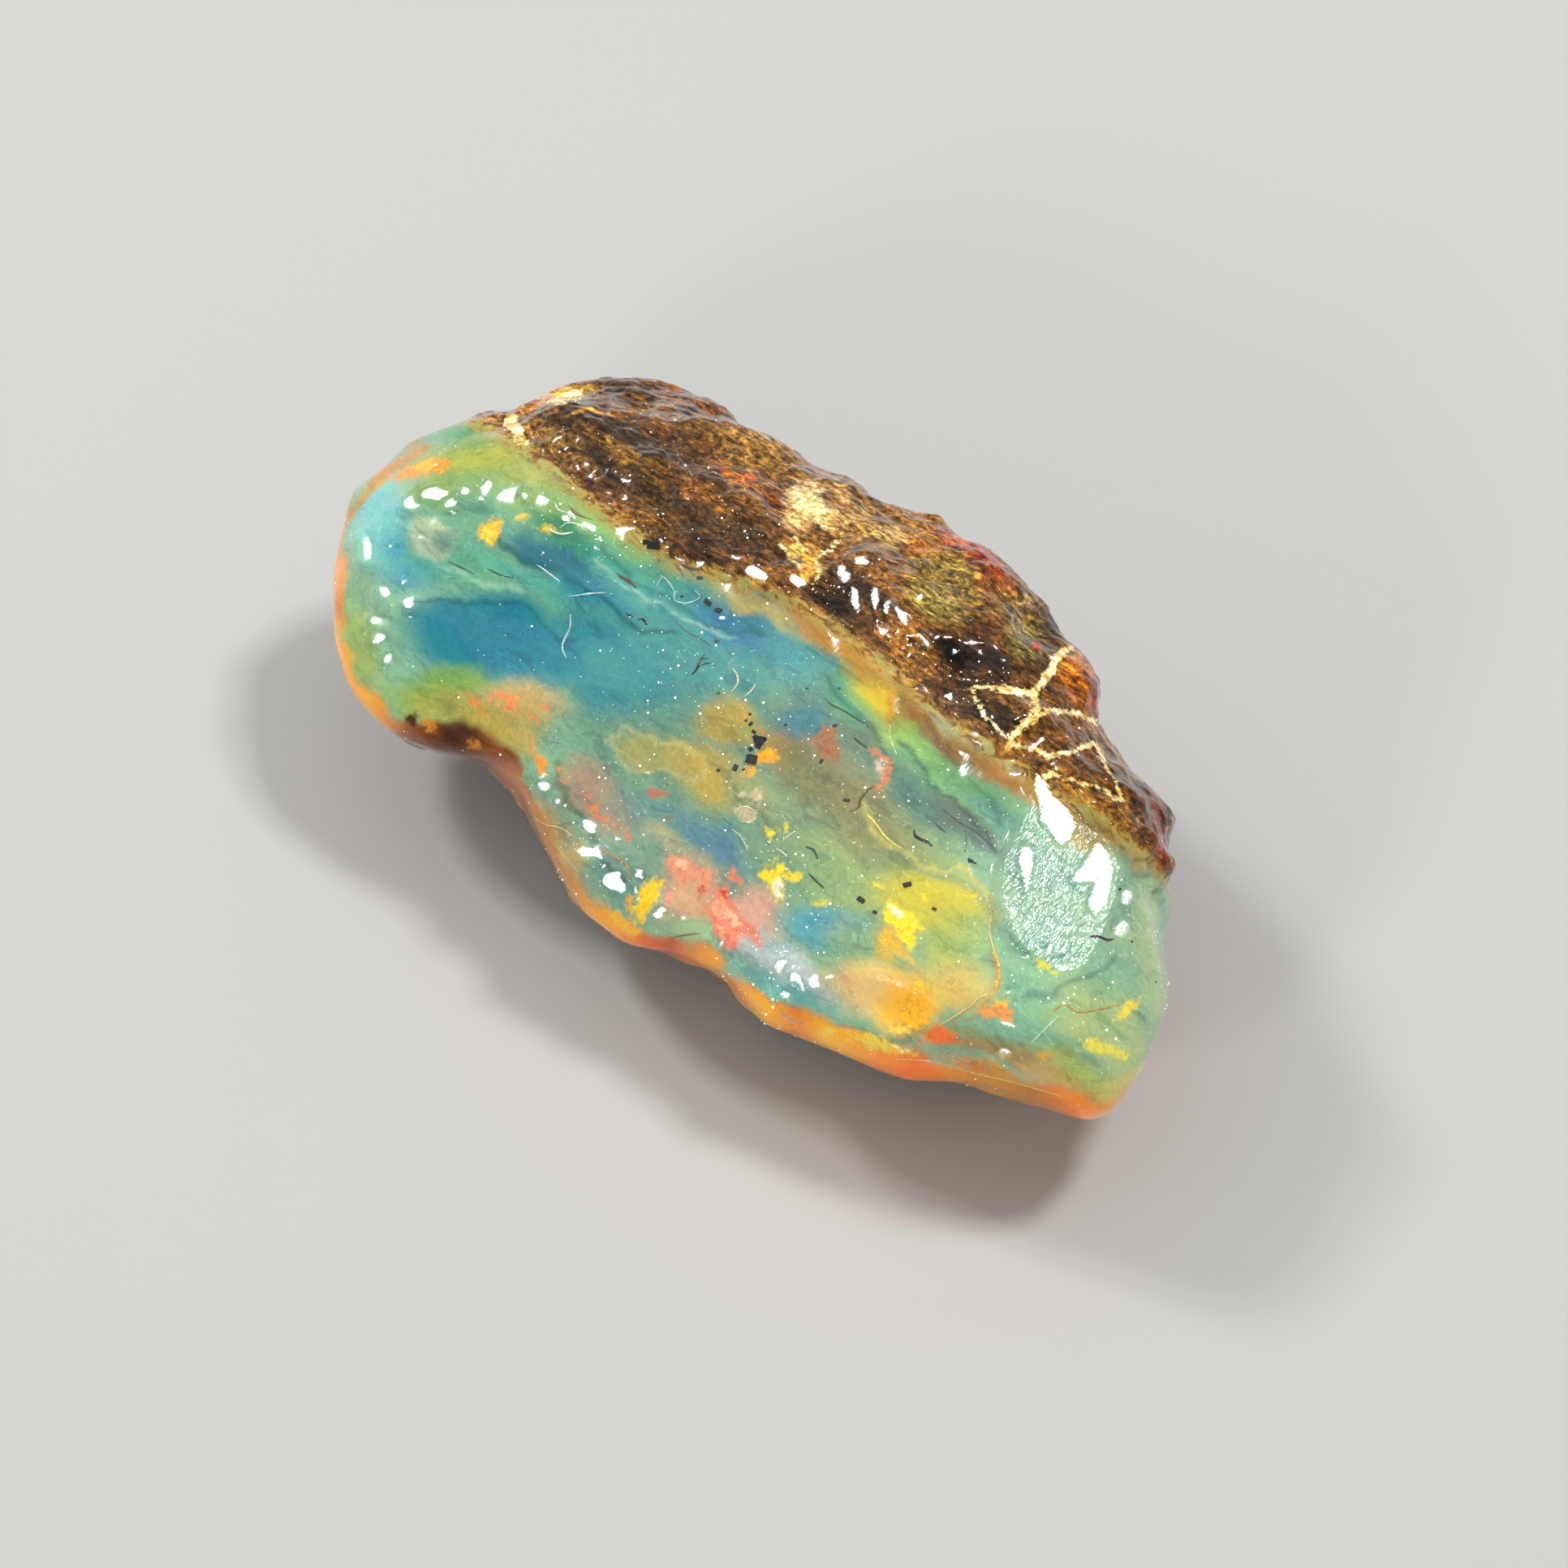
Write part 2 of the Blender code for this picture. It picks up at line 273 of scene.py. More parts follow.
points, normals = read_points(stone.data)
pixels, in_front = measure(points)
near_side = smooth_step(in_front / RIM_FADE_DEPTH + 0.5)
print("share of the skin that shows:", round(float(near_side.mean()), 2))

# %% How deep each point lies in the crust
CRUST_EDGE_PIXELS = [  # where the crust begins, from left to right
    (330, 440), (560, 500), (640, 545), (690, 575), (760, 640), (830, 690), (900, 710), (960, 728),
    (1030, 768), (1100, 826), (1150, 872), (1200, 908), (1270, 952), (1330, 986), (1400, 1040),
    (1440, 1085), (1500, 1150),
]
CRUST_SLOPE = 0.8  # how deep a point lies in the crust, for each mm past that line
CLEAR_RIM = 1.0  # mm of clear resin past the rim, before the crust of the far side starts
CLEAR_END_PIXEL, CLEAR_END_SIZE, CLEAR_END_DEPTH = (1400, 1230), 9.0, 7.0  # mm


def crust_depth(pixels, in_front):
    """How deep points lie in the crust, in mm. Below 0 they are clear resin."""
    edge = np.array(CRUST_EDGE_PIXELS, float)
    over_edge = (np.interp(pixels[:, 0], edge[:, 0], edge[:, 1]) - pixels[:, 1]) / PIXELS_PER_MM
    from_end = np.linalg.norm(pixels - np.array(CLEAR_END_PIXEL), axis=1) / PIXELS_PER_MM
    behind = -in_front - CLEAR_RIM - CLEAR_END_DEPTH * np.exp(-((from_end / CLEAR_END_SIZE) ** 2))
    return np.maximum(over_edge * CRUST_SLOPE, behind)


crust = crust_depth(pixels, in_front)
print("share of the skin that is crust:", round(float((crust > 0).mean()), 2))

# %% [markdown]
# ## Where the lamps will be
# A wet stone shows its lamps as small white shapes, one on each spot that happens to face halfway
# between the lamp and the eye. So the lamps' places are settled before the relief is. Both lamps
# and camera are near, so the halfway direction differs from one end of the stone to the other.

# %% Places of the three small lamps
BACK_LAMP = Vector((0.24, 0.38, 0.90)).normalized()
SIDE_LAMP = Vector((-0.69, -0.10, 0.71)).normalized()
FRONT_LAMP = Vector((0.16, -0.90, 0.40)).normalized()
LAMP_DISTANCE = 500  # mm


def halfway(spot, lamp):
    """The direction halfway between a lamp and the camera, seen from a spot on the stone."""
    to_lamp = (STONE_MIDDLE + lamp * LAMP_DISTANCE - spot).normalized()
    return (to_lamp + (camera_place - spot).normalized()).normalized()


for lamp in (BACK_LAMP, SIDE_LAMP, FRONT_LAMP):
    print("halfway to a lamp:", [round(c, 2) for c in halfway(STONE_MIDDLE, lamp)])

# %% [markdown]
# ## Fine relief
# Water and earth have worn the clear side smooth, but it isn't even: small beads stand along its
# rims, and each one catches a point of light. The crust is lumpy, with furrows that run the length
# of the stone. All of it is small next to the stone's own lumps, which the frame already has.
# Every point moves along its normal, so this is real relief and shows in the outline too.

# %% The beads along the rims
BEADS = [  # pixel across, pixel down, radius in pixels, height in mm
    (444, 668, 11, 0.14), (449, 692, 9, 0.12), (474, 726, 8, 0.12), (497, 722, 7, 0.10),
    (506, 746, 10, 0.16), (466, 748, 8, 0.12), (464, 768, 9, 0.14), (463, 787, 9, 0.14),
    (479, 812, 7, 0.10), (512, 612, 18, 0.18), (535, 604, 14, 0.16), (555, 620, 12, 0.15),
    (576, 606, 9, 0.12), (604, 600, 9, 0.12), (597, 618, 7, 0.10), (649, 613, 8, 0.14),
    (692, 622, 9, 0.14), (705, 640, 8, 0.12), (733, 653, 9, 0.14), (747, 661, 7, 0.10),
    (768, 665, 7, 0.10), (822, 677, 9, 0.14), (730, 672, 7, 0.10), (715, 655, 8, 0.12),
    (812, 732, 6, 0.08), (890, 762, 8, 0.12), (950, 716, 16, 0.15), (926, 703, 18, 0.18),
    (650, 958, 9, 0.12), (671, 969, 11, 0.16), (689, 985, 9, 0.14), (640, 945, 8, 0.10),
    (723, 1024, 10, 0.14), (718, 1052, 13, 0.18), (745, 1062, 12, 0.16), (757, 1080, 14, 0.18),
    (762, 1042, 9, 0.12), (780, 1062, 8, 0.12), (824, 1126, 12, 0.16), (842, 1112, 8, 0.10),
    (888, 1152, 10, 0.14), (903, 1164, 10, 0.14), (962, 1188, 12, 0.16), (975, 1204, 12, 0.16),
    (972, 1226, 11, 0.14), (1013, 1208, 11, 0.14), (1000, 1195, 8, 0.10), (1240, 1302, 10, 0.16),
    (1385, 1144, 10, 0.14), (1372, 1086, 8, 0.12), (1397, 1102, 8, 0.12), (1362, 1052, 7, 0.10),
    (1386, 1124, 7, 0.10), (1412, 1135, 7, 0.10), (1300, 1172, 8, 0.08), (1030, 700, 12, 0.12),
    (1075, 725, 20, 0.25), (1098, 748, 16, 0.20), (1052, 705, 14, 0.15), (1148, 708, 9, 0.12),
    (1010, 716, 12, 0.15), (1112, 775, 12, 0.15), (1182, 882, 9, 0.10), (1352, 905, 8, 0.10),
]


def bead_heights(pixels):
    """The beads' height at each point, in mm."""
    height = np.zeros(len(pixels))
    for across, down, radius, rise in BEADS:
        near = np.linalg.norm(pixels - (across, down), axis=1) / radius
        height += rise * np.exp(-(near ** 2))
    return height


beads = bead_heights(pixels)
print("beads:", len(BEADS), "and the highest stands", round(float(beads.max()), 2), "mm high")

# %% Raise the beads and roughen the crust
LUMP_SIZE, LUMP_HEIGHT = 1.0, 0.12  # mm, of the crust
FURROW_LENGTH, FURROW_WIDTH, FURROW_DEPTH = 1.8, 0.5, 0.06  # mm
WAVE_SIZE, WAVE_HEIGHT = 2.6, 0.04  # mm, of the clear side
LENGTHWAYS = in_picture(-36)  # the stone's length, as it lies across the photograph
CRUST_FADE = 0.8  # mm of depth in which the waves give way to the lumps
FLAT_BELOW = 0.25  # mm: the flat side that the stone rests on stays flat


def rough_heights(points):
    """Lumps and furrows of the crust, and the slow waves of the clear side, in mm."""
    rough, waves = np.empty(len(points)), np.empty(len(points))
    for i, point in enumerate(points):
        spot = Vector(point)
        lengthways = LENGTHWAYS * spot.dot(LENGTHWAYS)
        squeezed = spot / FURROW_WIDTH - lengthways * (1 / FURROW_WIDTH - 1 / FURROW_LENGTH)
        rough[i] = noise.fractal(spot / LUMP_SIZE, 1.0, 2.0, 3) * LUMP_HEIGHT
        rough[i] += noise.noise(squeezed) * FURROW_DEPTH
        waves[i] = noise.noise(spot / WAVE_SIZE) * WAVE_HEIGHT
    return rough, waves


rough, waves = rough_heights(points)
crusted = smooth_step(crust / CRUST_FADE + 0.5)
relief = crusted * rough + (1 - crusted) * waves + near_side * beads
relief *= smooth_step(points[:, 2] / FLAT_BELOW - 0.5)
points += normals * relief[:, None]
print("relief from", round(float(relief.min()), 2), "to", round(float(relief.max()), 2), "mm")

# %% [markdown]
# ## The great facet
# Where a chip came off, the resin broke along a small flat face. The largest is on the right, and
# it is finely rippled, as the face of a shell-like break is, so the lamp's image in it is torn
# into strips and dots. Its outline is a polygon of pixels, and the skin inside is laid onto one
# plane. Cutting it with a boolean would leave a hard edge, which water has worn off here.


# %% Polygons of pixels
def to_segment(pixels, start, end):
    """How far pixels lie from the line between two corners, and how far along it, from 0 to 1."""
    along = np.array((end[0] - start[0], end[1] - start[1]), float)
    from_start = pixels - start
    t = np.clip(from_start @ along / (along @ along), 0, 1)
    return np.linalg.norm(from_start - t[:, None] * along, axis=1), t


def inside_polygon(pixels, corners):
    """How far pixels lie inside a polygon, in mm. Below 0 they are outside."""
    away = np.full(len(pixels), 1e9)
    inside = np.zeros(len(pixels), bool)
    for (x0, y0), (x1, y1) in zip(corners, corners[1:] + corners[:1]):
        away = np.minimum(away, to_segment(pixels, (x0, y0), (x1, y1))[0])
        crosses = (y0 > pixels[:, 1]) != (y1 > pixels[:, 1])
        with np.errstate(divide="ignore", invalid="ignore"):
            at = x0 + (pixels[:, 1] - y0) / (y1 - y0) * (x1 - x0)
        inside ^= crosses & (pixels[:, 0] < at)
    return np.where(inside, away, -away) / PIXELS_PER_MM


square = [(0, 0), (0, 100), (100, 100), (100, 0)]
in_middle = float(inside_polygon(np.array([(50.0, 50.0)]), square)[0])
print("the middle of a square of 100 pixels is", round(in_middle, 1), "mm inside it")

# %% Lay the great facet onto its plane
GREAT_FACET = [(1270, 936), (1296, 944), (1318, 968), (1340, 1000), (1366, 1026), (1380, 1070),
               (1376, 1120), (1360, 1160), (1336, 1192), (1290, 1196), (1244, 1170), (1224, 1120),
               (1230, 1070), (1250, 1030), (1266, 990)]
CALM_PATCHES = [  # parts of it that broke smooth
    [(1277, 941), (1297, 957), (1307, 973), (1323, 984), (1334, 1010), (1326, 1036), (1306, 1050),
     (1288, 1027), (1277, 1016), (1279, 994), (1273, 969)],
    [(1245, 1062), (1255, 1045), (1272, 1046), (1276, 1069), (1272, 1100), (1261, 1112),
     (1254, 1087)],
    [(1349, 1032), (1363, 1041), (1371, 1066), (1368, 1100), (1364, 1124), (1349, 1136),
     (1336, 1119),
     (1342, 1094), (1321, 1092), (1316, 1084), (1334, 1060)],
]
GREAT_FACET_BLEND, CALM_BLEND = 0.5, 0.3  # mm

in_facet = smooth_step(inside_polygon(pixels, GREAT_FACET) / GREAT_FACET_BLEND + 0.5)
in_facet *= near_side > 0.5
facet_middle = points[in_facet > 0.9].mean(axis=0)
facet_facing = np.array(halfway(STONE_MIDDLE, BACK_LAMP))
off_plane = (facet_middle - points) @ facet_facing * in_facet
points = points + facet_facing * off_plane[:, None]
calm = np.max([inside_polygon(pixels, patch) for patch in CALM_PATCHES], axis=0)
rippled = in_facet * smooth_step(0.7 - calm / CALM_BLEND)
print("the great facet moves the skin by up to", round(float(np.abs(off_plane).max()), 2), "mm")

# %% [markdown]
# ## The small facets
# Each white spot at the front of the stone is a small facet, a millimetre or so long, that mirrors
# a lamp. Left to chance, the bumps would mirror it somewhere else. So each facet is an ellipse of
# pixels, and its part of the skin is turned to face halfway between the camera and the lamp that
# it nearly faces already. From anywhere else, other spots light up, as on a real stone.

# %% Where the small facets are
FACETS = [  # pixel across, pixel down, half length, half width, turn
    (511, 621, 13, 9, 20), (536, 610, 16, 8, 10), (556, 622, 9, 7, 30), (576, 606, 8, 6, 0),
    (602, 597, 7, 6, 0), (648, 613, 6, 6, 0), (698, 640, 7, 6, 0), (733, 655, 7, 6, 0),
    (768, 666, 5, 5, 0), (824, 677, 5, 5, 0), (449, 676, 9, 18, 0), (472, 729, 9, 9, 0),
    (506, 745, 8, 9, 0), (466, 766, 13, 8, 0), (465, 786, 12, 8, 0), (478, 811, 8, 9, 0),
    (520, 662, 6, 5, 0), (890, 762, 7, 6, 0), (934, 711, 20, 9, -38), (982, 714, 14, 10, -30),
    (1040, 708, 13, 10, 30), (1066, 693, 16, 7, 10), (1084, 702, 8, 7, 0), (1056, 740, 9, 15, 20),
    (1078, 738, 9, 11, -20), (1092, 752, 8, 10, 0), (1112, 764, 16, 7, -55), (1098, 780, 5, 12, 0),
    (1141, 704, 7, 10, 10), (1161, 711, 5, 5, 0), (1132, 738, 6, 6, 0), (1121, 810, 6, 6, 0),
    (1212, 881, 8, 6, 0),
    (670, 968, 9, 8, 0), (652, 962, 6, 5, 0), (687, 987, 6, 6, 0), (727, 1020, 8, 12, 30),
    (724, 1054, 12, 8, 0), (745, 1068, 6, 6, 0), (757, 1090, 16, 9, -30), (762, 1078, 8, 7, 0),
    (774, 1060, 7, 5, 30), (788, 1078, 7, 10, 20), (784, 1098, 5, 9, 20), (814, 1126, 10, 8, 40),
    (878, 1157, 6, 6, 0), (890, 1164, 7, 8, -40), (966, 1192, 10, 12, -50), (980, 1204, 8, 8, 0),
    (966, 1228, 12, 7, 10), (1003, 1211, 9, 10, -50), (989, 1214, 3, 9, 30),
    (1239, 1303, 12, 11, 0),
    (1201, 1315, 4, 4, 0), (1385, 1147, 12, 11, 0), (1388, 1108, 10, 11, 0), (1415, 1089, 5, 7, 0),
    (1411, 1040, 9, 13, 0), (1403, 1070, 6, 7, 0), (1428, 1105, 5, 6, 30), (1386, 1175, 4, 6, 0),
    (696, 718, 3, 3, 0), (727, 731, 4, 3, 0), (743, 732, 5, 3, 20), (810, 732, 4, 4, 0),
    (1243, 1226, 8, 5, -30), (1340, 1160, 6, 5, 0), (1182, 884, 5, 4, 0),
    (1222, 902, 6, 4, -30), (1100, 845, 4, 4, 0), (1160, 880, 4, 4, 0), (1250, 850, 7, 4, 0),
    (1330, 872, 4, 5, 0), (1235, 838, 8, 3, 10), (1300, 945, 12, 5, -50),
]
print("small facets:", len(FACETS))

# %% Turn each small facet to its lamp
FACET_REACH = 0.6  # mm: how far a small facet may move the skin
FACET_END, FACET_FADE = 1.6, 0.6  # where its turn ends, in ellipses, and how wide it fades there
FAR_SIDE_AWAY = 1e3  # pixels added to the far side's points, so that none of them is the nearest
ROUND_A_PIXEL = 12  # pixels


def in_ellipse(pixels, across, down, half_length, half_width, degrees):
    """How far pixels lie along and across an ellipse, in its half lengths and half widths."""
    angle = math.radians(degrees)
    along = (pixels - (across, down)) @ (math.cos(angle), -math.sin(angle)) / half_length
    beside = (pixels - (across, down)) @ (math.sin(angle), math.cos(angle)) / half_width
    return along, beside


def spot_and_normal(across, down):
    """The skin's point nearest to a pixel, and its mean normal round there."""
    away = np.linalg.norm(pixels - (across, down), axis=1) + FAR_SIDE_AWAY * (near_side < 0.5)
    around = normals[away < away.min() + ROUND_A_PIXEL]
    return Vector(points[np.argmin(away)]), Vector(around.mean(axis=0)).normalized()


def tilt_facets(tilted):
    """Gives the skin's points with each small facet turned halfway between camera and lamp."""
    for facet in FACETS:
        middle, normal = spot_and_normal(*facet[:2])
        to_lamps = [halfway(middle, lamp) for lamp in (BACK_LAMP, SIDE_LAMP, FRONT_LAMP)]
        facing = max(to_lamps, key=normal.dot)
        away = np.hypot(*in_ellipse(pixels, *facet))
        weight = smooth_step((FACET_END - away) / FACET_FADE) * near_side
        off_plane = (np.array(middle) - tilted) @ np.array(facing) * weight
        tilted = tilted + normals * np.clip(off_plane, -FACET_REACH, FACET_REACH / 3)[:, None]
    return tilted


before = points
points = tilt_facets(points)
moved = np.linalg.norm(points - before, axis=1)
print("the small facets move the skin by up to", round(float(moved.max()), 2), "mm")

# %% [markdown]
# The stone rests on the flat face below, and none of it may reach past the box of the frame's
# solid. So the points close to the floor are pressed flat, and the rest are held inside the box.
# Then the mesh gets its moved points, and it is shaded smooth, as a polished skin is.

# %% Keep the underside flat, and the skin inside the solid's box
low = points[:, 2] < FLAT_BELOW
points[low, 2] *= smooth_step(points[low, 2] / FLAT_BELOW)
points = np.clip(points, box_low, box_high)
stone.data.vertices.foreach_set("co", (points * MM).ravel())
stone.data.shade_smooth()
stone.data.update()
print("the stone now reaches up to", round(float(points[:, 2].max()), 2), "mm")

# %% [markdown]
# ## Finding a place on the stone
# To put a thing where the photograph shows it, a ray is sent from the camera through its pixel,
# and it goes where the ray meets the stone, or a little below that.

# %% Aim a ray through a pixel
stone_tree = BVHTree.FromPolygons(
    [Vector(point) for point in points], [polygon.vertices[:] for polygon in stone.data.polygons]
)


def on_stone(across, down, sunk=0.0):
    """The point, in mm, that shows at a pixel, sunk into the stone, and the normal there."""
    sideways = (across - PHOTO_SIZE / 2) / PIXELS_PER_MM
    upwards = (PHOTO_SIZE / 2 - down) / PIXELS_PER_MM
    through = aim + RIGHT * sideways + UP * upwards
    hit, normal, _, _ = stone_tree.ray_cast(camera_place, (through - camera_place).normalized())
    if hit is None:
        hit, normal, _, _ = stone_tree.find_nearest(through)
    return hit - normal * sunk, normal


print("the blue pool's middle, in mm:", [round(c, 1) for c in on_stone(610, 785)[0]])

# %% [markdown]
# ## Colour in the clear resin
# Blue amber glows blue and green where light falls on it, and it is honey-coloured where light
# comes through it. Here that glow is broken up by flows and old cracks into patches of orange,
# coral and yellow. The colours are painted onto the points of the skin, from short lists of soft
# clouds. The places are pushed about by noise before they are looked up, so the edges come out
# wispy, as flows in resin are. An image laid over the stone would smear on its sides, and a node
# for each cloud would be slow to render.

# %% Brushes
BROAD_WARP_SIZE, BROAD_WARP = 2.6, 1.3  # mm
FINE_WARP_SIZE, FINE_WARP = 0.8, 0.5  # mm
WARP_SEED = 3  # noise_vector takes the clock as its seed if it is given none

noise.seed_set(WARP_SEED)


def warp(points, size, reach):
    """Pushes points about by noise of one size, by up to about half of reach in mm."""
    spots = [Vector(point) for point in points]
    return np.array([spot + noise.noise_vector(spot / size) * reach / 2 for spot in spots])


def lay_clouds(colours, spots, clouds, depth):
    """Lays each cloud's colour over what lies below it, inside an egg-shaped volume."""
    for across, down, half_length, half_width, degrees, colour, softness, strength in clouds:
        middle, _ = on_stone(across, down)
        lengthwise = in_picture(degrees)
        axes = np.array((lengthwise, TOWARDS.cross(lengthwise), TOWARDS))
        radii = half_length / PIXELS_PER_MM, half_width / PIXELS_PER_MM, depth
        away = np.linalg.norm((spots - np.array(middle)) @ axes.T / radii, axis=1)
        cover = smooth_step((1 + softness - away) / (2 * softness)) * strength
        lay_over(colours, rgb(colour), cover)


def beside_line(pixels, corners, half_width):
    """How far pixels lie within a line's half width, in mm. Below 0 they are beside it."""
    steps = zip(corners, corners[1:])
    away = np.min([to_segment(pixels, start, end)[0] for start, end in steps], axis=0)
    return (half_width - away) / PIXELS_PER_MM


broad = warp(points, BROAD_WARP_SIZE, BROAD_WARP)
flowing = warp(broad, FINE_WARP_SIZE, FINE_WARP)
print("the warp moves a point by up to", round(float(np.abs(flowing - points).max()), 2), "mm")

# %% [markdown]
# Each row below is one cloud, and it lies over the rows before it. The wide fields come first:
# teal on the left, grey green in the middle, pale green on the right. Then come the blue pool, the
# green and gold round it, and the small spots. A cloud reaches some way into the stone, so that it
# wraps round the rim and isn't only a flat spot on the front.

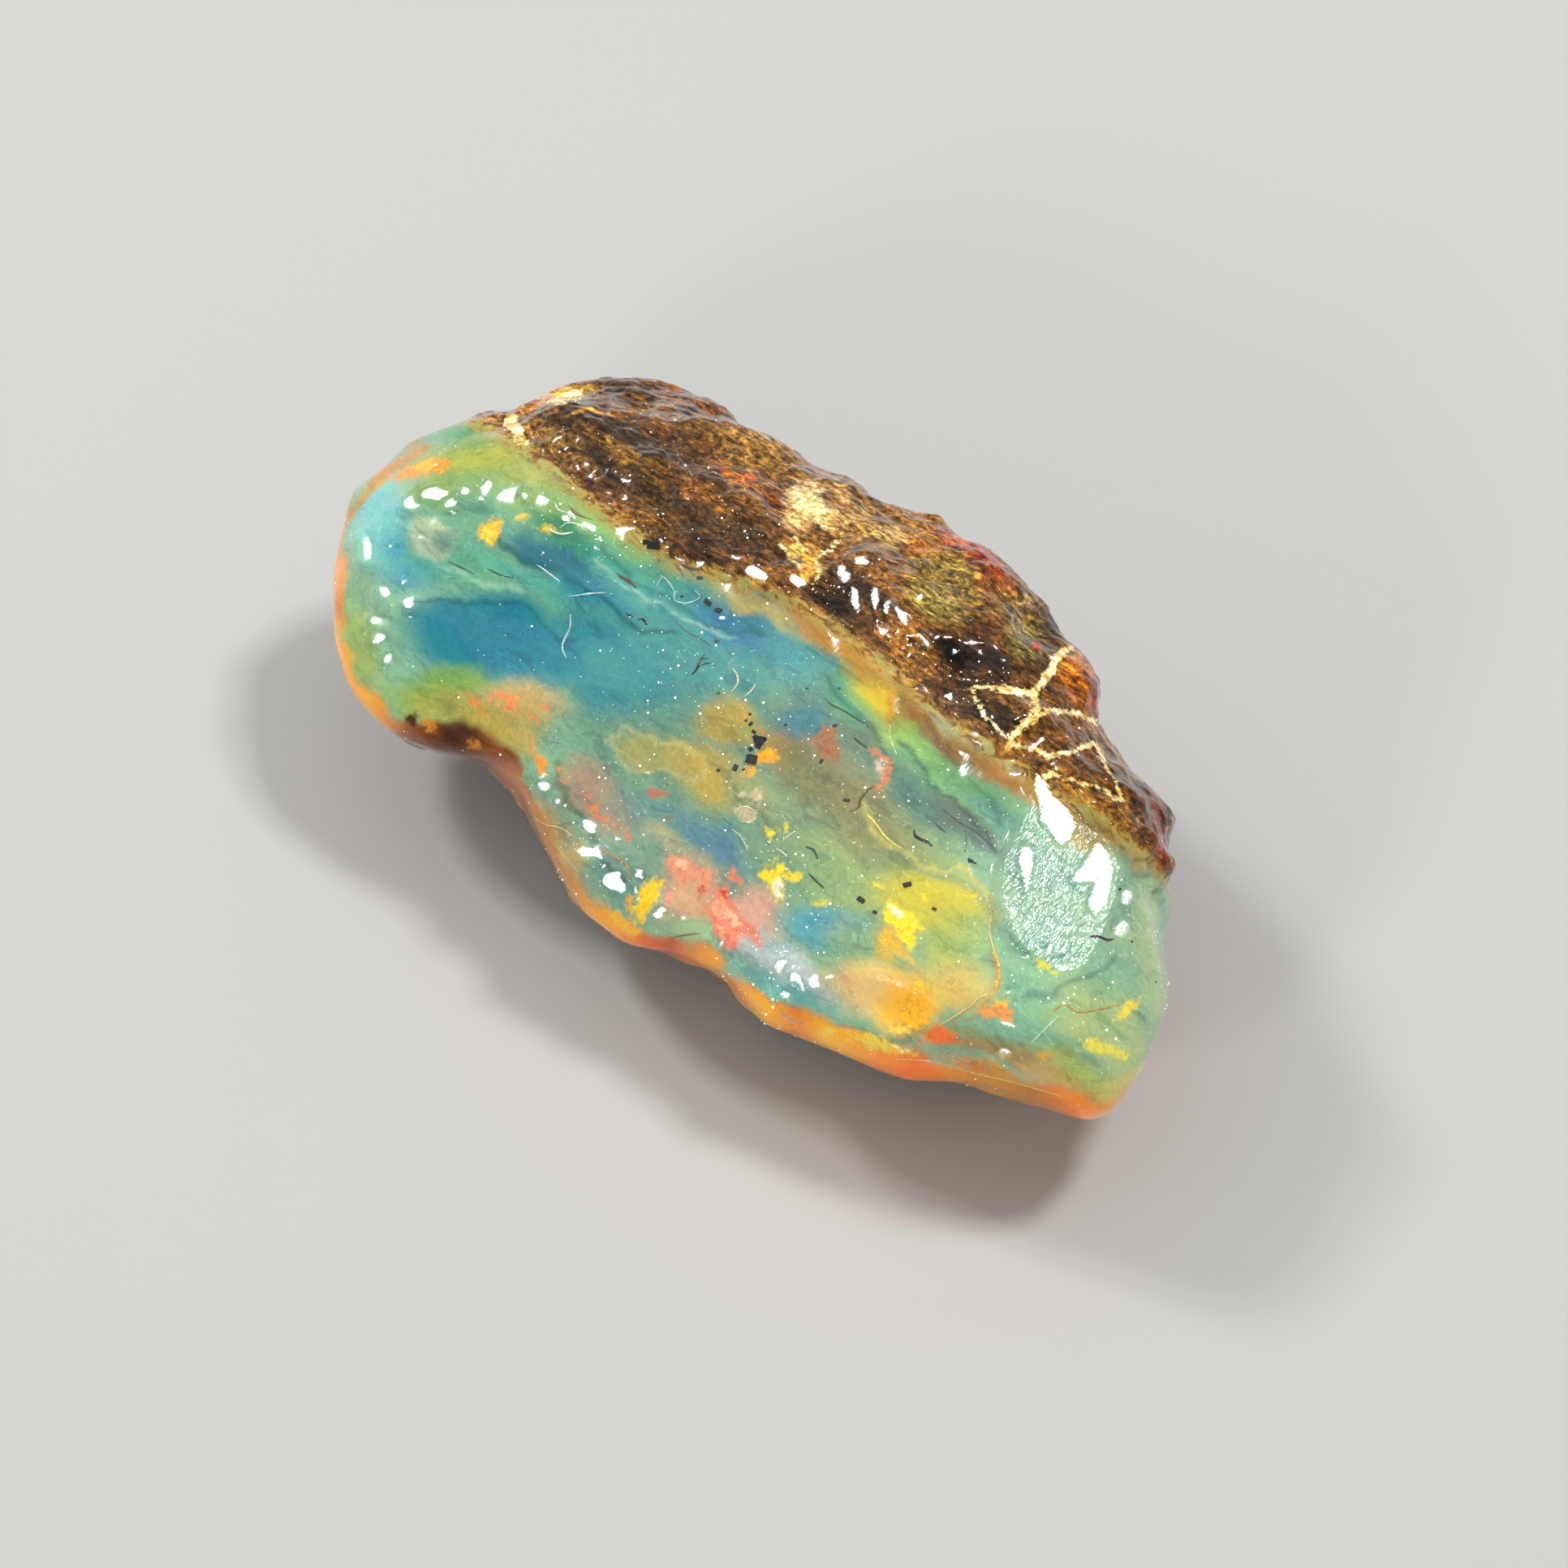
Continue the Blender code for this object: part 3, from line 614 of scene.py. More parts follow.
# %% The clouds in the resin
# pixel across, pixel down, half length, half width, turn in degrees, colour, softness, strength
RESIN_CLOUDS = [
    # the wide fields, from left to right
    (470, 760, 110, 200, 0, "#86B69C", 0.6, 0.9),
    (620, 640, 170, 90, -25, "#6FA98B", 0.6, 0.8),
    (800, 820, 200, 90, -32, "#4E9488", 0.6, 0.9),
    (900, 960, 230, 90, -36, "#7B9A83", 0.6, 0.9),
    (1060, 900, 130, 70, -40, "#6C958A", 0.6, 0.8),
    (800, 1050, 120, 60, -30, "#7F9A8A", 0.6, 0.8),
    (1100, 1090, 130, 80, -36, "#9DB47A", 0.6, 0.9),
    (1340, 1150, 130, 200, 0, "#92BC9F", 0.6, 0.9),
    # the left end
    (560, 570, 100, 42, 18, "#8CA860", 0.5, 0.9),
    (590, 562, 56, 14, 4, "#B9BA4E", 0.6, 0.85),
    (636, 528, 20, 20, 0, "#F2B83A", 0.5, 0.9),
    (590, 515, 60, 18, 10, "#4F9A6C", 0.5, 0.8),
    (470, 630, 34, 70, 0, "#84CDD0", 0.6, 0.9),
    (505, 690, 40, 34, 0, "#46A3BE", 0.6, 0.8),
    (440, 800, 30, 70, 10, "#98AE62", 0.5, 0.9),
    (560, 700, 60, 26, -20, "#5FA98F", 0.6, 0.7),
    (527, 662, 30, 24, 0, "#B4C0A0", 0.3, 0.85),
    (545, 663, 13, 14, 0, "#6F9489", 0.4, 0.8),
    (700, 640, 110, 22, -25, "#93AE62", 0.6, 0.8),
    (700, 665, 60, 14, -28, "#2F8A66", 0.5, 0.8),
    (760, 672, 80, 13, -30, "#86B870", 0.5, 0.85),
    (800, 720, 95, 24, -32, "#47A8A4", 0.6, 0.85),
    (690, 690, 66, 15, -27, "#1D6B84", 0.45, 0.95),
    (742, 738, 80, 17, -22, "#1F80A2", 0.5, 0.9),
    (640, 705, 70, 12, -27, "#5DB6A2", 0.5, 0.7),
    (860, 790, 130, 50, -28, "#4A9498", 0.6, 0.85),
    (740, 815, 110, 50, -25, "#348C9C", 0.5, 0.9),
    (610, 785, 115, 52, -8, "#1F8498", 0.3, 0.97),
    (600, 780, 82, 34, -8, "#187894", 0.6, 0.7),
    (930, 775, 62, 30, -30, "#346F98", 0.6, 0.85),
    (880, 762, 40, 22, -30, "#3C85A8", 0.6, 0.7),
    (980, 800, 60, 30, -40, "#5AA5A8", 0.6, 0.7),
    (540, 848, 66, 26, 12, "#7DA651", 0.5, 0.9),
    (560, 885, 70, 26, -20, "#A8A54C", 0.6, 0.85),
    (600, 895, 50, 24, -30, "#B9A348", 0.6, 0.7),
    # the middle
    (890, 965, 70, 24, -25, "#A9A666", 0.6, 0.7),
    (815, 928, 60, 22, -14, "#ABA566", 0.3, 0.85),
    (895, 892, 34, 32, -20, "#BCA050", 0.4, 0.9),
    (912, 898, 12, 10, 0, "#8FA46C", 0.5, 0.8),
    (870, 950, 40, 16, -30, "#C0A050", 0.6, 0.7),
    (1120, 1315, 46, 7, -14, "#6F8D78", 0.4, 0.9),
    (970, 925, 34, 26, 0, "#C98F50", 0.7, 0.8),
    (1000, 905, 60, 30, -35, "#75806A", 0.7, 0.7),
    (1060, 890, 24, 60, 35, "#6C7E68", 0.6, 0.85),
    (985, 890, 30, 20, 0, "#3F8296", 0.6, 0.8),
    (1000, 960, 60, 24, -30, "#728058", 0.6, 0.8),
    (1060, 1000, 90, 40, -40, "#8E8560", 0.7, 0.85),
    (1170, 955, 90, 30, -40, "#7CB07A", 0.55, 0.9),
    (1135, 985, 80, 18, -42, "#5A7E74", 0.6, 0.85),
    (1205, 1030, 70, 14, -40, "#66706A", 0.6, 0.85),
    (1230, 1010, 40, 14, -40, "#5E958C", 0.6, 0.8),
    (1048, 862, 24, 34, 40, "#5CA684", 0.6, 0.9),
    (1085, 862, 22, 60, 35, "#B9C95E", 0.6, 0.85),
    (1120, 905, 50, 18, -42, "#9CC873", 0.6, 0.8),
    # below the middle
    (640, 862, 50, 22, -8, "#DCA658", 0.7, 0.7),
    (640, 900, 34, 30, 0, "#BCA04A", 0.7, 0.7),
    (740, 985, 52, 30, -40, "#B08A76", 0.4, 0.85),
    (830, 1015, 90, 34, -25, "#6E9A98", 0.7, 0.7),
    (885, 1040, 44, 22, -40, "#5B86A2", 0.6, 0.85),
    (690, 1045, 66, 20, -62, "#C08A38", 0.6, 0.9),
    (753, 1082, 28, 26, -50, "#6B9A8E", 0.5, 0.9),
    (848, 1100, 34, 40, 0, "#DDA486", 0.6, 0.85),
    (830, 1042, 40, 12, -30, "#B0AC8A", 0.6, 0.85),
    (850, 1150, 36, 14, -16, "#A4C59C", 0.6, 0.85),
    (918, 1130, 40, 34, 40, "#E0A898", 0.5, 0.95),
    (1015, 1142, 56, 24, -4, "#5BA3B8", 0.5, 0.95),
    (1065, 1160, 44, 26, -20, "#93AE80", 0.6, 0.85),
    (975, 1195, 66, 20, -34, "#BEC4CC", 0.6, 0.8),
    (985, 1235, 70, 15, -34, "#69ABAC", 0.6, 0.9),
    (950, 1225, 60, 8, -40, "#7FC4B2", 0.6, 0.8),
    (1150, 1115, 70, 34, -18, "#D6C848", 0.4, 0.95),
    (1185, 1165, 40, 32, -30, "#ABB962", 0.5, 0.9),
    (1095, 1160, 20, 22, 0, "#E5B93E", 0.6, 0.8),
    (1185, 1212, 44, 26, -20, "#E2C064", 0.5, 0.9),
    (1080, 1218, 58, 34, -12, "#F2CC84", 0.35, 0.95),
    (1120, 1235, 30, 40, 0, "#FFC23A", 0.6, 0.95),
    (1215, 1292, 90, 16, -10, "#A8814A", 0.5, 0.8),
    (1210, 1280, 60, 8, -8, "#8FA06A", 0.5, 0.8),
    # the right end
    (1300, 1215, 90, 50, -25, "#86BE98", 0.7, 0.8),
    (1310, 1100, 80, 100, 0, "#93B9A4", 0.7, 0.8),
    (1360, 1270, 66, 34, -50, "#B8C88C", 0.6, 0.85),
    (1418, 1170, 22, 90, 4, "#AEC494", 0.6, 0.9),
    (1335, 1325, 60, 18, -35, "#B4BE62", 0.5, 0.85),
    (1300, 1330, 80, 10, -20, "#C79A48", 0.6, 0.7),
    (1380, 1350, 26, 24, 10, "#DCC766", 0.6, 0.8),
    (1310, 1000, 70, 20, -40, "#B6984A", 0.6, 0.8),
    # the slope below the crust
    (650, 585, 60, 16, -22, "#B5B55A", 0.6, 0.8),
    (730, 625, 60, 14, -34, "#A39A4C", 0.6, 0.8),
    (810, 665, 50, 12, -38, "#8C9A5C", 0.6, 0.8),
    (880, 705, 40, 10, -36, "#A8A866", 0.6, 0.7),
    (930, 745, 60, 10, -34, "#C9B368", 0.6, 0.8),
    (1010, 775, 60, 18, -38, "#CC9040", 0.6, 0.9),
    (1068, 812, 60, 24, -44, "#CC9640", 0.6, 0.9),
    (1118, 868, 30, 34, 40, "#A8853A", 0.6, 0.85),
    (1086, 860, 12, 26, 30, "#F0D048", 0.5, 0.9),
    (1098, 872, 5, 24, 10, "#E8A030", 0.5, 0.9),
    (1160, 905, 44, 12, -40, "#A86A30", 0.6, 0.85),
    (1180, 904, 24, 6, -30, "#D8C88E", 0.5, 0.5),
    (1222, 942, 46, 14, -38, "#B0702C", 0.6, 0.85),
    (1285, 980, 40, 14, -38, "#C0904A", 0.6, 0.8),
    (1380, 1030, 50, 16, -42, "#A8803C", 0.6, 0.8),
]
CLOUD_DEPTH = 8  # mm, the clouds' half depth into the stone
RESIN_GROUND = "#83AE92"

resin = np.tile(rgb(RESIN_GROUND), (len(points), 1))
lay_clouds(resin, flowing, RESIN_CLOUDS, CLOUD_DEPTH)
print("clouds of colour in the resin:", len(RESIN_CLOUDS))

# %% [markdown]
# ## Seams between the flows
# The resin ran down the tree in sheets, one over the other. Where a sheet ends, a thin dark or
# pale seam is left, which gives the soft clouds some drawing. Each seam is a given line, and it
# is painted over the clouds with a soft edge.

# %% Draw the seams between the flows
SEAMS = [  # half width in pixels, colour, strength, then the line's corners
    (4, "#0F5468", 0.6, [(612, 658), (661, 690), (717, 725), (773, 763), (829, 781)]),
    (3, "#1F6458", 0.55, [(745, 675), (815, 725), (871, 767), (934, 781)]),
    (2, "#B8DCC0", 0.5, [(738, 690), (790, 725), (846, 762), (900, 780)]),
    (3, "#14586C", 0.55, [(506, 746), (562, 739), (618, 746), (682, 767), (710, 781)]),
    (4, "#A8D4C4", 0.45, [(485, 640), (520, 683), (576, 711), (647, 732)]),
    (3, "#2C6258", 0.6, [(1015, 844), (1053, 879), (1088, 914), (1102, 949)]),
    (3, "#3A4C52", 0.65, [(1117, 921), (1159, 977), (1215, 1033), (1232, 1061)]),
    (2, "#2E5A58", 0.55, [(1150, 900), (1190, 940), (1218, 985), (1226, 1020)]),
    (3, "#DCD070", 0.6, [(1067, 1005), (1096, 1040), (1131, 1065), (1180, 1075), (1215, 1103)]),
    (3, "#B8843C", 0.5, [(1218, 1110), (1222, 1160), (1230, 1209), (1208, 1251), (1159, 1272),
                         (1110, 1282)]),
    (2, "#CFC888", 0.55, [(745, 914), (773, 893), (829, 914), (871, 949), (843, 956), (773, 942),
                          (745, 914)]),
    (4, "#50562A", 0.6, [(682, 949), (703, 991), (731, 1040), (773, 1082)]),
    (3, "#22645F", 0.55, [(941, 1237), (1011, 1258), (1082, 1279), (1124, 1289)]),
    (2, "#5E6E5C", 0.5, [(930, 1000), (965, 1015), (1000, 1012), (1040, 1030)]),
    (3, "#46707A", 0.5, [(1260, 1240), (1300, 1232), (1340, 1210), (1372, 1180)]),
    (2, "#C8D8A0", 0.5, [(1330, 1260), (1362, 1285), (1392, 1300), (1408, 1296)]),
]
SEAM_FADE = 0.25  # mm

flowing_pixels, _ = measure(flowing)
for half_width, seam_colour, strength, corners in SEAMS:
    cover = beside_line(flowing_pixels, corners, half_width) / SEAM_FADE + 0.5
    lay_over(resin, rgb(seam_colour), smooth_step(cover) * near_side * strength)
print("seams:", len(SEAMS))

# %% [markdown]
# ## Painted glow where the light comes through
# Seen against the light, this amber is orange. That glow is painted here, as painted light: the
# orange of light that has come through a thin edge goes into the resin's colour along its rim,
# and on its underside. The rim is painted along a line that follows the stone's lower outline,
# because its width and colour change on the way.

# %% Paint the rim's glow, as painted light
LIT_RIM = [  # pixel across, pixel down, half width in pixels, colour
    (520, 545, 5, "#C98A3A"), (478, 574, 9, "#D9903A"), (446, 612, 7, "#C9A040"),
    (424, 660, 7, "#E8961C"),
    (410, 700, 14, "#FF9A0C"), (406, 745, 24, "#D9801A"), (408, 790, 14, "#F0AC20"),
    (418, 835, 16, "#FFA408"), (440, 872, 20, "#FFA80A"), (470, 900, 24, "#E08408"),
    (500, 910, 28, "#8A4812"), (540, 922, 34, "#54290E"), (580, 932, 32, "#54290E"),
    (612, 944, 24, "#8A4A18"), (628, 975, 20, "#B8640C"), (650, 1012, 22, "#B8740C"),
    (676, 1056, 22, "#B06A10"), (700, 1098, 20, "#C8840C"), (718, 1124, 18, "#F09A08"),
    (750, 1150, 20, "#FFA008"), (790, 1168, 18, "#E06804"), (830, 1178, 14, "#C04C00"),
    (872, 1190, 16, "#FFA008"), (905, 1218, 14, "#F08C00"), (935, 1252, 18, "#FFB008"),
    (975, 1268, 22, "#F08400"), (1020, 1284, 24, "#FFB400"), (1070, 1306, 26, "#FF9400"),
    (1120, 1324, 26, "#FF6C00"), (1165, 1334, 20, "#F08A08"), (1220, 1340, 16, "#D08C18"),
    (1270, 1352, 18, "#C07818"), (1310, 1368, 22, "#E07800"), (1350, 1374, 18, "#FF9600"),
    (1388, 1362, 10, "#E0A850"), (1410, 1320, 4, "#D8D8A0"),
]
LIT_RIM_FADE = 14  # pixels over which the rim's colour fades into the stone


def lay_lit_rim(colours, pixels):
    """Paints the rim's glow, which is painted light, near the line, each point from its nearest
    part.
    """
    nearest = np.full(len(pixels), 1e9)
    strength, tint = np.zeros(len(pixels)), np.zeros((len(pixels), 3))
    for (*start, start_width, start_colour), (*end, end_width, end_colour) in zip(LIT_RIM, LIT_RIM[1:]):
        away, t = to_segment(pixels, start, end)
        nearer = away < nearest
        nearest = np.minimum(nearest, away)
        width = start_width + (end_width - start_width) * t
        here = smooth_step((width + LIT_RIM_FADE / 2 - away) / LIT_RIM_FADE)
        shade = rgb(start_colour) * (1 - t[:, None]) + rgb(end_colour) * t[:, None]
        strength = np.where(nearer, here, strength)
        tint[nearer] = shade[nearer]
    lay_over(colours, tint, strength)


lay_lit_rim(resin, flowing_pixels)
print("corners of the rim's line:", len(LIT_RIM))

# %% Paint the underside's glow, as painted light
HONEY_GLOW, DEEP_HONEY_GLOW = "#E08C10", "#8A4608"
HONEY_GLOW_FADE = 2  # mm behind the rim in which it sets in
HONEY_GLOW_START = 0.2  # of that, where it starts
DEEP_PATCH_SIZE = 1.8  # mm

# the honey here is painted light: the glow of light that has come through the underside
honey = smooth_step(-in_front / HONEY_GLOW_FADE - HONEY_GLOW_START)
deep = np.array([noise.noise(Vector(spot) / DEEP_PATCH_SIZE) for spot in broad])
deepened = smooth_step(deep * 1.6 + 0.35)[:, None] * (rgb(DEEP_HONEY_GLOW) - rgb(HONEY_GLOW))
lay_over(resin, rgb(HONEY_GLOW) + deepened, honey)
print("share of the skin that is honey:", round(float((honey > 0.5).mean()), 2))

# %% [markdown]
# ## Flakes
# The brightest patches are old cracks in the resin. Each is a thin flat gap that throws the light
# back in one colour, so its edge is sharp. A colour on the points would be blurred over the width
# of a face, so what is painted is each point's distance to the nearest flake's edge, and the
# shader cuts that off sharply. The flake's own colour runs on past its edge and is hidden there.

# %% Where the flakes are
FLAKES = [  # colour, then corners in pixels; a flake lies over those before it
    # crumbs of crust on the lower left rim
    ("#C88A2C", [(520, 884), (534, 888), (538, 902), (524, 904)]),
    ("#3A1E0C", [(546, 898), (566, 902), (570, 916), (550, 914)]),
    ("#B87A28", [(580, 906), (594, 910), (592, 924), (577, 922)]),
    ("#4A260E", [(500, 876), (515, 882), (512, 897), (499, 891)]),
    # gold at the left end, below the crust
    ("#F7A93C", [(478, 590), (512, 566), (545, 562), (560, 570), (545, 582), (500, 592)]),
    ("#FFC93C", [(505, 573), (530, 566), (542, 572), (520, 580)]),
    ("#F6C33A", [(588, 668), (590, 650), (603, 640), (622, 636), (618, 652), (606, 672)]),
    ("#FFE04A", [(592, 665), (596, 650), (612, 642), (610, 658), (600, 672)]),
    ("#FFD84A", [(632, 640), (642, 633), (652, 636), (645, 643)]),
    ("#F6D54A", [(655, 648), (676, 648), (690, 655), (672, 658)]),
    ("#FFD83C", [(622, 516), (638, 512), (652, 522), (656, 540), (640, 544), (626, 530)]),
    ("#E8A53A", [(600, 508), (620, 505), (626, 514), (606, 516)]),
    ("#EBC04A", [(648, 545), (660, 540), (668, 552), (656, 556)]),
    ("#F2C648", [(690, 560), (702, 556), (708, 566), (696, 570)]),
    # coral below the blue pool and down the left rim
    ("#FF9C62", [(598, 860), (615, 853), (629, 854), (640, 860), (640, 873), (631, 880), (613, 876),
                 (620, 869), (626, 863), (608, 860), (603, 866)]),
    ("#FF8C4C", [(647, 875), (656, 878), (663, 886), (661, 894), (652, 884)]),
    ("#EE8A66", [(665, 869), (672, 866), (676, 873), (670, 877)]),
    ("#EE8E40", [(567, 850), (576, 854), (590, 866), (602, 880), (598, 884), (582, 868)]),
    ("#FF8A2A", [(650, 904), (656, 904), (660, 922), (665, 938), (658, 940), (654, 922)]),
    ("#FF9A22", [(663, 935), (675, 932), (679, 942), (671, 951), (666, 958), (661, 948)]),
    ("#F98A4A", [(686, 943), (693, 944), (697, 967), (692, 967), (688, 955)]),
    ("#D08A6A", [(718, 976), (732, 976), (731, 982), (721, 983)]),
    ("#E08A5A", [(720, 990), (741, 992), (739, 1001), (751, 1006), (748, 1015), (727, 1003)]),
    ("#DC7A52", [(755, 1016), (764, 1017), (762, 1024)]),
    ("#F57A3C", [(769, 1022), (776, 1024), (780, 1038), (773, 1040)]),
    ("#CC7A58", [(796, 971), (815, 974), (828, 979), (815, 984), (801, 980)]),
    ("#AE6C50", [(817, 1006), (829, 1010), (826, 1014)]),
    # orange, cream and brown in the middle
    ("#F08A2C", [(932, 897), (942, 901), (943, 909), (935, 906)]),
    ("#FFB42C", [(936, 927), (950, 917), (960, 926), (957, 941), (940, 945), (933, 936)]),
    ("#FFC43A", [(946, 922), (955, 924), (952, 932), (944, 930)]),
    ("#C9BE98", [(903, 1000), (912, 993), (925, 993), (933, 1002), (928, 1012), (912, 1014)]),
    ("#D9C9A0", [(926, 970), (935, 972), (940, 984), (934, 994), (928, 986)]),
    ("#CFC6A6", [(906, 979), (918, 978), (925, 984), (914, 988)]),
    ("#EDB94A", [(916, 943), (933, 945), (928, 955), (918, 962)]),
    ("#A87A58", [(1012, 895), (1026, 896), (1032, 912), (1037, 938), (1024, 942), (1007, 931),
                 (998, 916), (1005, 908)]),
    ("#D98A60", [(1070, 922), (1082, 924), (1094, 932), (1100, 950), (1094, 968), (1080, 984),
                 (1076, 978), (1088, 962), (1090, 946), (1082, 936), (1072, 932)]),
    ("#D8C8B4", [(1078, 940), (1086, 938), (1092, 950), (1088, 962), (1080, 956)]),
    # the coral patches in front
    ("#EFA27C", [(823, 1055), (845, 1054), (852, 1060), (853, 1068), (878, 1074), (888, 1073),
                 (879, 1083), (875, 1100), (868, 1107), (858, 1088), (839, 1091), (822, 1077)]),
    ("#E8A080", [(820, 1096), (832, 1098), (828, 1117), (818, 1114)]),
    ("#F98040", [(865, 1113), (871, 1115), (868, 1132), (864, 1130)]),
    ("#F48A62", [(896, 1062), (906, 1072), (915, 1088), (920, 1101), (912, 1098), (904, 1086),
                 (898, 1080)]),
    ("#F29070", [(892, 1090), (899, 1091), (897, 1099), (903, 1108), (910, 1120), (912, 1130),
                 (927, 1141), (939, 1159), (940, 1178), (933, 1168), (921, 1157), (910, 1153),
                 (912, 1166), (904, 1175), (895, 1174), (889, 1160), (873, 1140), (875, 1115),
                 (883, 1099)]),
    ("#FFB088", [(878, 1112), (888, 1104), (894, 1118), (906, 1128), (898, 1136), (880, 1132)]),
    # yellow splashes
    ("#F6E14A", [(939, 1023), (952, 1020), (958, 1025), (954, 1035), (944, 1035)]),
    ("#E8D24A", [(966, 1013), (974, 1016), (972, 1028), (966, 1026)]),
    ("#F0DE50", [(953, 1054), (958, 1057), (957, 1066), (952, 1064)]),
    ("#FFE63A", [(933, 1077), (942, 1070), (954, 1072), (962, 1066), (971, 1073), (988, 1076),
                 (990, 1083), (983, 1090), (969, 1086), (962, 1082), (964, 1092), (967, 1103),
                 (960, 1113), (952, 1103), (944, 1092), (935, 1083)]),
    ("#FFFCDC", [(950, 1086), (958, 1084), (963, 1094), (965, 1104), (959, 1108), (953, 1099)]),
    ("#F4E04A", [(1074, 1088), (1088, 1090), (1089, 1098), (1078, 1097)]),
    ("#E6D85A", [(1002, 1111), (1021, 1112), (1020, 1120), (1001, 1117)]),
    ("#FFE92E", [(1090, 1118), (1097, 1111), (1105, 1114), (1114, 1123), (1125, 1130), (1133, 1139),
                 (1136, 1146), (1128, 1152), (1131, 1164), (1120, 1173), (1113, 1168), (1106, 1156),
                 (1100, 1143), (1088, 1131)]),
    ("#FFFFC8", [(1096, 1117), (1102, 1120), (1116, 1133), (1110, 1138), (1098, 1126)]),
    ("#F5C238", [(1084, 1148), (1098, 1146), (1106, 1160), (1116, 1174), (1130, 1184), (1124, 1187),
                 (1104, 1177), (1090, 1166)]),
    ("#FFE63A", [(1132, 1103), (1139, 1101), (1148, 1109), (1145, 1114), (1135, 1110)]),
    ("#F2DC50", [(1141, 1089), (1146, 1091), (1146, 1099), (1141, 1097)]),
    ("#EED64A", [(1185, 1098), (1200, 1096), (1206, 1108), (1192, 1112)]),
    # the orange boss in front, and what lies round it
    ("#FFC030", [(1103, 1234), (1114, 1226), (1126, 1220), (1139, 1231), (1144, 1246), (1146, 1260),
                 (1132, 1272), (1114, 1272), (1104, 1255)]),
    ("#FFD83A", [(1126, 1208), (1133, 1203), (1138, 1214), (1138, 1226), (1128, 1222)]),
    ("#FFDC5A", [(1098, 1266), (1116, 1263), (1122, 1274), (1112, 1278), (1097, 1276)]),
    ("#F27830", [(1156, 1266), (1170, 1274), (1188, 1284), (1170, 1289), (1142, 1285), (1130, 1289),
                 (1142, 1276)]),
    ("#F2A85C", [(1204, 1244), (1236, 1234), (1253, 1253), (1248, 1263), (1223, 1261),
                 (1206, 1252)]),
    ("#FFC93A", [(1228, 1236), (1240, 1233), (1241, 1242), (1231, 1243)]),
    ("#FFBC2E", [(1040, 1271), (1062, 1274), (1090, 1284), (1130, 1300), (1132, 1306), (1100, 1304),
                 (1060, 1294), (1036, 1284)]),
    ("#F2D24C", [(1052, 1276), (1084, 1280), (1110, 1292), (1088, 1298), (1060, 1290)]),
    # small pale and red spots in the coral patches
    ("#F8C4A0", [(836, 1060), (848, 1060), (846, 1072), (834, 1070)]),
    ("#FFD0A8", [(898, 1126), (910, 1132), (914, 1144), (902, 1142)]),
    ("#F6BE94", [(884, 1140), (894, 1150), (900, 1164), (890, 1160)]),
    ("#D8442A", [(886, 1102), (892, 1096), (896, 1106), (890, 1112)]),
    ("#D8442A", [(858, 1094), (866, 1092), (868, 1104), (860, 1106)]),
    # the front rim
    ("#FFF3A0", [(1100, 1291), (1112, 1292), (1126, 1298), (1118, 1301), (1104, 1297)]),
    ("#F7D24A", [(1004, 1276), (1020, 1268), (1036, 1272), (1024, 1280)]),
    ("#FFD428", [(796, 1086), (817, 1084), (815, 1096), (808, 1116), (796, 1134), (785, 1141),
                 (780, 1130), (787, 1109), (792, 1095)]),
    ("#F5A52A", [(776, 1102), (784, 1109), (778, 1132), (772, 1118)]),
    ("#FBBA2E", [(739, 1118), (757, 1125), (774, 1130), (792, 1146), (778, 1155), (757, 1140)]),
    # yellow at the right end
    ("#F8EE5C", [(1330, 1284), (1352, 1284), (1374, 1292), (1396, 1306), (1384, 1308), (1356, 1302),
                 (1336, 1296)]),
    ("#F4E65A", [(1372, 1262), (1382, 1246), (1402, 1232), (1412, 1228), (1404, 1242),
                 (1386, 1256)]),
    ("#EEE75C", [(1270, 1178), (1286, 1186), (1304, 1200), (1298, 1204), (1278, 1194)]),
    ("#EAB04A", [(1276, 1298), (1292, 1296), (1300, 1304), (1288, 1312), (1278, 1308)]),
]
print("flakes:", len(FLAKES))

# %% Paint the flakes
FLAKE_WARP_SIZE, FLAKE_WARP = 0.5, 0.45  # mm
FLAKES_END = 2  # mm behind the rim, past which there is no flake

flake_edge = np.full(len(points), -9.0)
flake = np.tile(rgb("#FFFFFF"), (len(points), 1))
flake_pixels, _ = measure(warp(points, FLAKE_WARP_SIZE, FLAKE_WARP))
for colour, corners in FLAKES:
    inside = inside_polygon(flake_pixels, corners)
    take = (inside > flake_edge) | (inside > 0)
    flake[take] = rgb(colour)
    flake_edge = np.maximum(flake_edge, inside)
flake_edge = np.minimum(flake_edge, in_front + FLAKES_END)
print("share of the skin that is flakes:", round(float((flake_edge > 0).mean()), 3))
